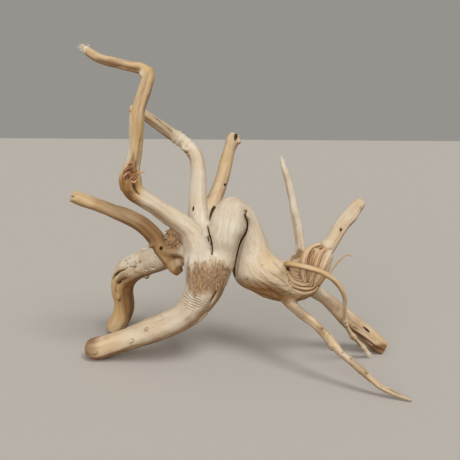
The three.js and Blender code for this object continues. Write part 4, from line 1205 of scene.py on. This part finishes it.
class DRIFTWOOD_OT_fused_limbs(Operator):
    """Grow all the thick limbs, fuse them in one piece, and carve their grain, scars and cracks"""

    bl_idname = "driftwood.fused_limbs"
    bl_label = "Fused limbs"

    def execute(self, context):
        limbs = grown_limbs()
        cell = context.scene.driftwood.cell
        bodies = [tube(limb.heart[::2], limb.radius[::2]) for limb in limbs.values()]
        bodies += [lens(shape) for shape in LUMPS]
        wood = join(bodies, "fused_limbs")
        apply_modifier(wood, "REMESH", mode="VOXEL", voxel_size=cell, adaptivity=0.0)
        apply_modifier(wood, "SMOOTH", factor=0.5, iterations=3)
        put_places(wood, settle(mesh_places(wood), list(limbs.values()), LUMPS))
        apply_modifier(wood, "SMOOTH", factor=0.4, iterations=2)

        areas = [BRISTLED_FRONT, WRINKLED_BEND, FIBROUS_BURL, ELBOW_KNOT]
        areas += [(middle, (radius * 1.8,) * 3) for middle, radius, _ in SCARS]

        def fine(places):
            """Whether each place needs finer faces."""
            near = sum(region(places, area) for area in areas)
            near = near + fissure_field(places)[1] + under_strands(places, RIMS, 1.5)
            return near + sum(seam_mask(places, seam, narrowing) for seam, narrowing in SEAMS) > 0.02

        select_faces(wood, fine)
        bpy.ops.object.mode_set(mode="EDIT")
        bpy.ops.mesh.select_mode(type="FACE")
        bpy.ops.mesh.subdivide(number_cuts=1)
        bpy.ops.object.mode_set(mode="OBJECT")
        places = settle(mesh_places(wood), list(limbs.values()), LUMPS, rounds=2)
        put_places(wood, places)
        _, _, grain, _ = survey(places, list(limbs.values()), LUMPS)
        put_places(wood, places + mesh_normals(wood) * relief(places, grain, limbs)[:, None])

        knives = [lens(shape, waviness=0.35 if shape[1][0] > 5 else 0.0) for shape in CRACKS]
        knives += [seam_cutter(seam, narrowing) for seam, narrowing in SEAMS]
        for knife in knives:
            apply_modifier(wood, "BOOLEAN", operation="DIFFERENCE", solver="MANIFOLD", object=knife)
            bpy.data.objects.remove(knife)
        deselect()
        wood.select_set(True)
        context.view_layer.objects.active = wood
        bpy.ops.object.mode_set(mode="EDIT")
        bpy.ops.mesh.select_all(action="SELECT")
        bpy.ops.mesh.bisect(plane_co=(0, 0, 0), plane_no=(0, 0, 1), use_fill=True, clear_inner=True)
        bpy.ops.object.mode_set(mode="OBJECT")
        places = mesh_places(wood)
        dirt_and_shade, rust = stains_and_painted_shade(places, limbs)
        finish_wood(wood, list(limbs.values()), dirt_and_shade, rust)
        return {"FINISHED"}


def strand(points, warmth=(0.5, 0.5)):
    """A thin limb in numbers."""
    return Limb(points, flutes=2, ridge=0.12, twist=4.0, warmth=warmth)


def roughen(piece, strands, amount, size=1.4):
    """Gives thin wood its fibrous surface."""
    places = mesh_places(piece)
    _, _, grain, _ = survey(places, strands)
    height = amount * rough(grain, (size, size, 14), seed=5)
    put_places(piece, places + mesh_normals(piece) * height[:, None])


class DRIFTWOOD_OT_burl_slats(Operator):
    """Split the burl's face into slats, with the rims that bend under them"""

    bl_idname = "driftwood.burl_slats"
    bl_label = "Burl slats"

    def execute(self, context):
        luck = np.random.default_rng(5)
        for i, (points, rust, dirt_and_shade, warmth) in enumerate(SLATS):
            fibres = [self.fibre(np.array(points), luck) for _ in range(5)]
            self.split_wood(f"burl_slat_{i + 1}", [points, *fibres], rust, dirt_and_shade, warmth, SLAT_FLATNESS)
        self.split_wood("burl_rims", RIMS, 0.3, 0.0, 0.5, RIM_FLATNESS)
        return {"FINISHED"}

    def fibre(self, rows, luck):
        """A fibre that stands out along a part of a slat."""
        first = luck.integers(0, len(rows) - 3)
        part = rows[first:first + luck.integers(4, len(rows))].copy()
        part[:, 0] += luck.uniform(-0.75, 0.75) * part[:, 3]
        part[:, 1:3] += np.array(SLAT_FACING[1:]) * 0.55 * part[:, 3:]
        part[:, 3] *= luck.uniform(0.18, 0.32)
        part[[0, -1], 3] *= 0.4
        return part

    def split_wood(self, name, lists, rust, dirt_and_shade, warmth, flatness):
        """Makes a piece of flat, fibrous strands that face the front."""
        strands = [strand(points, (warmth, warmth)) for points in lists]
        bodies = []
        for one in strands:
            body = tube(one.heart, one.radius, sides=8)
            places = mesh_places(body)
            nearest = np.argmin(np.linalg.norm(places[:, None, :] - one.heart[None, :, :], axis=2), axis=1)
            off = places - one.heart[nearest]
            facing = unit(SLAT_FACING)
            put_places(body, places - (off @ facing)[:, None] * facing * (1 - flatness))
            bodies.append(body)
        piece = join(bodies, name)
        roughen(piece, strands, 0.5, 1.1)
        # Painted shade: the strands are darkened on their flanks that face left and right, as a dark
        # outline.
        side = np.abs(mesh_normals(piece)[:, 0])
        finish_wood(piece, strands, np.maximum(dirt_and_shade, 0.6 * smooth_step(0.7, 0.98, side)), rust)


class DRIFTWOOD_OT_torn_strips(Operator):
    """Add the torn strips, the fibres curled over the knot and the splinters"""

    bl_idname = "driftwood.torn_strips"
    bl_label = "Torn strips"

    def execute(self, context):
        for name, lists, dirt_and_shade, rust in (
            ("torn_strips", STRIPS, 0.3, 0.1), ("knot_fibres", KNOT_FIBRES + self.knot_loops(), 0.1, 0.95),
        ):
            strands = [strand(points) for points in lists]
            piece = join([tube(one.heart, one.radius, sides=5) for one in strands], name)
            roughen(piece, strands, 0.3)
            finish_wood(piece, strands, dirt_and_shade, rust)
        return {"FINISHED"}

    def knot_loops(self):
        """More fibres that loop over the knot, each bulging to the front."""
        luck = np.random.default_rng(12)
        middle, loops = np.array(ELBOW_KNOT[0]) + (0.5, -2, 1), []
        for _ in range(11):
            first, span = luck.uniform(0, 2 * pi), luck.uniform(0.7, 2.2)
            wide, tall = luck.uniform(2.2, 5), luck.uniform(3, 6.5)
            bulge = luck.uniform(0.8, 2.6)
            loop = []
            for part in (0, 0.33, 0.67, 1):
                turn = first + span * part
                hump = bulge * sin(pi * part)
                place = middle + (wide * cos(turn), -hump, tall * sin(turn))
                loop.append((*place, luck.uniform(0.55, 0.9) * (1 - 0.5 * part)))
            loops.append(loop)
        return loops


class DRIFTWOOD_OT_thin_roots(Operator):
    """Add the curled root in front of the burl and the hair root behind it"""

    bl_idname = "driftwood.thin_roots"
    bl_label = "Thin roots"

    def execute(self, context):
        for name, points, warmth, knobs in (
            ("curled_root", CURL, (0.8, 0.45), CURL_KNOBS), ("hair_root", TWIG, (0.8, 1.0), ()),
        ):
            one = Limb(points, flutes=3, ridge=0.05, twist=5.0, warmth=warmth)
            piece = join([tube(one.heart, one.radius, sides=8)], name)
            places = mesh_places(piece)
            swell = np.zeros(len(places))
            for knob in knobs:
                swell = swell + np.exp(-((lens_depth(places, knob)[0] / 1.5) ** 2))
            put_places(piece, places + mesh_normals(piece) * (0.7 * swell)[:, None])
            roughen(piece, [one], 0.25, 1.6)
            finish_wood(piece, [one])
        return {"FINISHED"}


class DRIFTWOOD_OT_bristles(Operator):
    """Scatter broken fibres over the front of the trunk, the fibrous burl, and the frayed tips"""

    bl_idname = "driftwood.bristles"
    bl_label = "Bristles and frayed tips"

    def execute(self, context):
        luck = np.random.default_rng(21)
        deselect()
        bpy.ops.mesh.primitive_cone_add(vertices=5, radius1=1, radius2=0.15, depth=1, location=(0, 0, 0.5))
        bpy.ops.object.transform_apply(location=True, rotation=True, scale=True)
        model = context.object
        wood = surface_points(bpy.data.objects["fused_limbs"])
        count = context.scene.driftwood.bristles
        self.sow(context, model, "trunk_bristles", self.trunk(luck, wood, count))
        self.sow(context, model, "burl_stubs", self.burl(luck, wood))
        self.sow(context, model, "frayed_tips", self.tips(luck), bleach_and_highlight=0.85)
        bpy.data.objects.remove(model)
        return {"FINISHED"}

    def trunk(self, luck, wood, count):
        """Bristles that lie almost flat on the front of the trunk and point up."""
        middle, sizes = np.array(BRISTLED_FRONT[0]) + LIST_SHIFT, np.array(BRISTLED_FRONT[1])
        for _ in range(count):
            place = middle + luck.uniform(-0.9, 0.9, 3) * sizes
            root, out = wood(place)
            if out[1] > 0.1 or np.linalg.norm((root - middle) / sizes) > 1.0:
                continue
            lean = unit(out * luck.uniform(0.25, 0.7) + np.array([luck.uniform(-0.3, 0.3), 0, 1.0]))
            yield root - lean * 1.1, lean, luck.uniform(1.7, 3.3), luck.uniform(0.35, 0.7)

    def burl(self, luck, wood):
        """Short stubs all over the fibrous burl."""
        middle, sizes = np.array(FIBROUS_BURL[0]) + LIST_SHIFT, np.array(FIBROUS_BURL[1])
        for _ in range(300):
            root, out = wood(middle + unit(luck.normal(size=3)) * sizes)
            if np.linalg.norm((root - middle) / sizes) > 1.05:
                continue
            lean = unit(out + luck.normal(size=3) * 0.45)
            yield root - lean * 0.8, lean, luck.uniform(1.8, 4.4), luck.uniform(0.6, 1.25)

    def tips(self, luck):
        """Loose fibres at the tips of the arm, the spike and the curled root."""
        for end, way, count, long in (
            ((-123.8, 3.4, 285.8), (-0.85, -0.2, 0.5), 34, 4.2),
            ((136.6, 5.6, 4.6), (0.5, 0.2, -0.3), 20, 3.2),
            ((48.6, 20, 192), (0.2, 0, 1), 5, 5.0),
        ):
            for _ in range(count):
                lean = unit(unit(way) + luck.normal(size=3) * 0.3)
                root = np.array(end) + LIST_SHIFT + luck.normal(size=3) * 1.2
                yield root, lean, luck.uniform(0.5, 1.0) * long, luck.uniform(0.3, 0.7)

    def sow(self, context, model, name, spots, bleach_and_highlight=0.0):
        """Puts a copy of the model at each spot, all in one piece."""
        copies = []
        for root, way, long, thick in spots:
            copy = model.copy()
            copy.data = model.data.copy()
            context.collection.objects.link(copy)
            turn = Vector(way).to_track_quat("Z", "Y").to_matrix().to_4x4()
            size = Matrix.Diagonal((thick * MM, thick * MM, long * MM, 1))
            copy.data.transform(Matrix.Translation(Vector(root * MM)) @ turn @ size)
            copies.append(copy)
        piece = join(copies, name)
        count = len(piece.data.vertices)
        tone = np.repeat(tones(len(copies)), count // len(copies))
        dirt_and_shade = 0.0 if bleach_and_highlight else 0.25 * (1 - tone)
        finish_wood(piece, list(grown_limbs().values()), dirt_and_shade, 0.1, np.maximum(bleach_and_highlight, 0.5 * tone))


def tones(count):
    """A tone from 0 to 1 for each of several copies."""
    return np.random.default_rng(8).uniform(0, 1, count)


def surface_points(piece):
    """A finder: the nearest place on a piece, and the way out there, for a place in millimetres."""
    corners, ways = mesh_places(piece), mesh_normals(piece)

    def find(place):
        """The nearest place, and the way out at the vertex next to it."""
        # The face that is found there isn't used: which of two it is at an edge can change from run to run.
        spot = np.array(piece.closest_point_on_mesh(Vector(place * MM))[1]) / MM
        return spot, ways[np.argmin(((corners - spot) ** 2).sum(axis=1))]
    return find


# The camera stands where the branch's outlines agree with the view that it is modelled from.
CAMERA_PLACE = (2.2, -436.4, 233.6)
CAMERA_PITCH = 13.43
CAMERA_YAW = -0.98
CAMERA_ROLL = 0.33
CAMERA_LENS = 38.46


class DRIFTWOOD_OT_stage(Operator):
    """Make the pale floor, the soft studio light and the camera"""

    bl_idname = "driftwood.stage"
    bl_label = "Stage"

    def execute(self, context):
        deselect()
        bpy.ops.mesh.primitive_plane_add(size=8, location=(0, 0, 0))
        floor = context.object
        floor.name = "floor"
        paper = bpy.data.materials.new("matt pale floor")
        paper.use_nodes = True
        shader = paper.node_tree.nodes["Principled BSDF"]
        shader.inputs["Base Color"].default_value = (*linear("#c2bcb4"), 1)
        shader.inputs["Roughness"].default_value = 0.9
        floor.data.materials.append(paper)

        world = bpy.data.worlds.new("pale studio")
        context.scene.world = world
        world.use_nodes = True
        sky = world.node_tree.nodes["Background"]
        sky.inputs["Color"].default_value = (*linear("#e7e3dc"), 1)
        sky.inputs["Strength"].default_value = 0.38

        # Both lamps are far and wide, so that shadows are soft and the floor is evenly lit.
        for name, way, softness, power in (
            ("overhead softbox", (0.35, -0.35, 0.87), 22, 1.3),
            ("front fill", (-0.25, -0.85, 0.45), 60, 1.5),
        ):
            bpy.ops.object.light_add(type="SUN", location=way)
            light = context.object
            light.name = name
            light.data.angle = radians(softness)
            light.data.energy = power
            light.rotation_euler = Vector(way).to_track_quat("Z", "Y").to_euler()

        turn = (
            Matrix.Rotation(radians(-CAMERA_YAW), 4, "Z")
            @ Matrix.Rotation(radians(90 - CAMERA_PITCH), 4, "X")
            @ Matrix.Rotation(radians(CAMERA_ROLL), 4, "Z")
        )
        bpy.ops.object.camera_add(location=Vector(CAMERA_PLACE) * MM, rotation=turn.to_euler())
        camera = context.object
        camera.data.lens = CAMERA_LENS
        context.scene.camera = camera
        context.scene.view_settings.view_transform = "Standard"
        return {"FINISHED"}


class DRIFTWOOD_PT_panel(Panel):
    """The branch's pieces, in the order in which they are made"""

    bl_label = "Driftwood"
    bl_space_type = "VIEW_3D"
    bl_region_type = "UI"
    bl_category = "Driftwood"

    def draw(self, context):
        for name in DriftwoodSettings.__annotations__:
            self.layout.prop(context.scene.driftwood, name)
        for operator in OPERATORS:
            self.layout.operator(operator.bl_idname)


OPERATORS = (
    DRIFTWOOD_OT_stage, DRIFTWOOD_OT_fused_limbs, DRIFTWOOD_OT_burl_slats, DRIFTWOOD_OT_torn_strips,
    DRIFTWOOD_OT_thin_roots, DRIFTWOOD_OT_bristles,
)
CLASSES = (DriftwoodSettings, *OPERATORS, DRIFTWOOD_PT_panel)


def register():
    """Adds the settings, the operators and the panel."""
    for one in CLASSES:
        bpy.utils.register_class(one)
    bpy.types.Scene.driftwood = PointerProperty(type=DriftwoodSettings)


def unregister():
    """Takes them away again."""
    del bpy.types.Scene.driftwood
    for one in reversed(CLASSES):
        bpy.utils.unregister_class(one)


def main():
    """Makes the branch and its stage."""
    register()
    for operator in OPERATORS:
        family, name = operator.bl_idname.split(".")
        getattr(getattr(bpy.ops, family), name)()


if __name__ == "__main__":
    main()
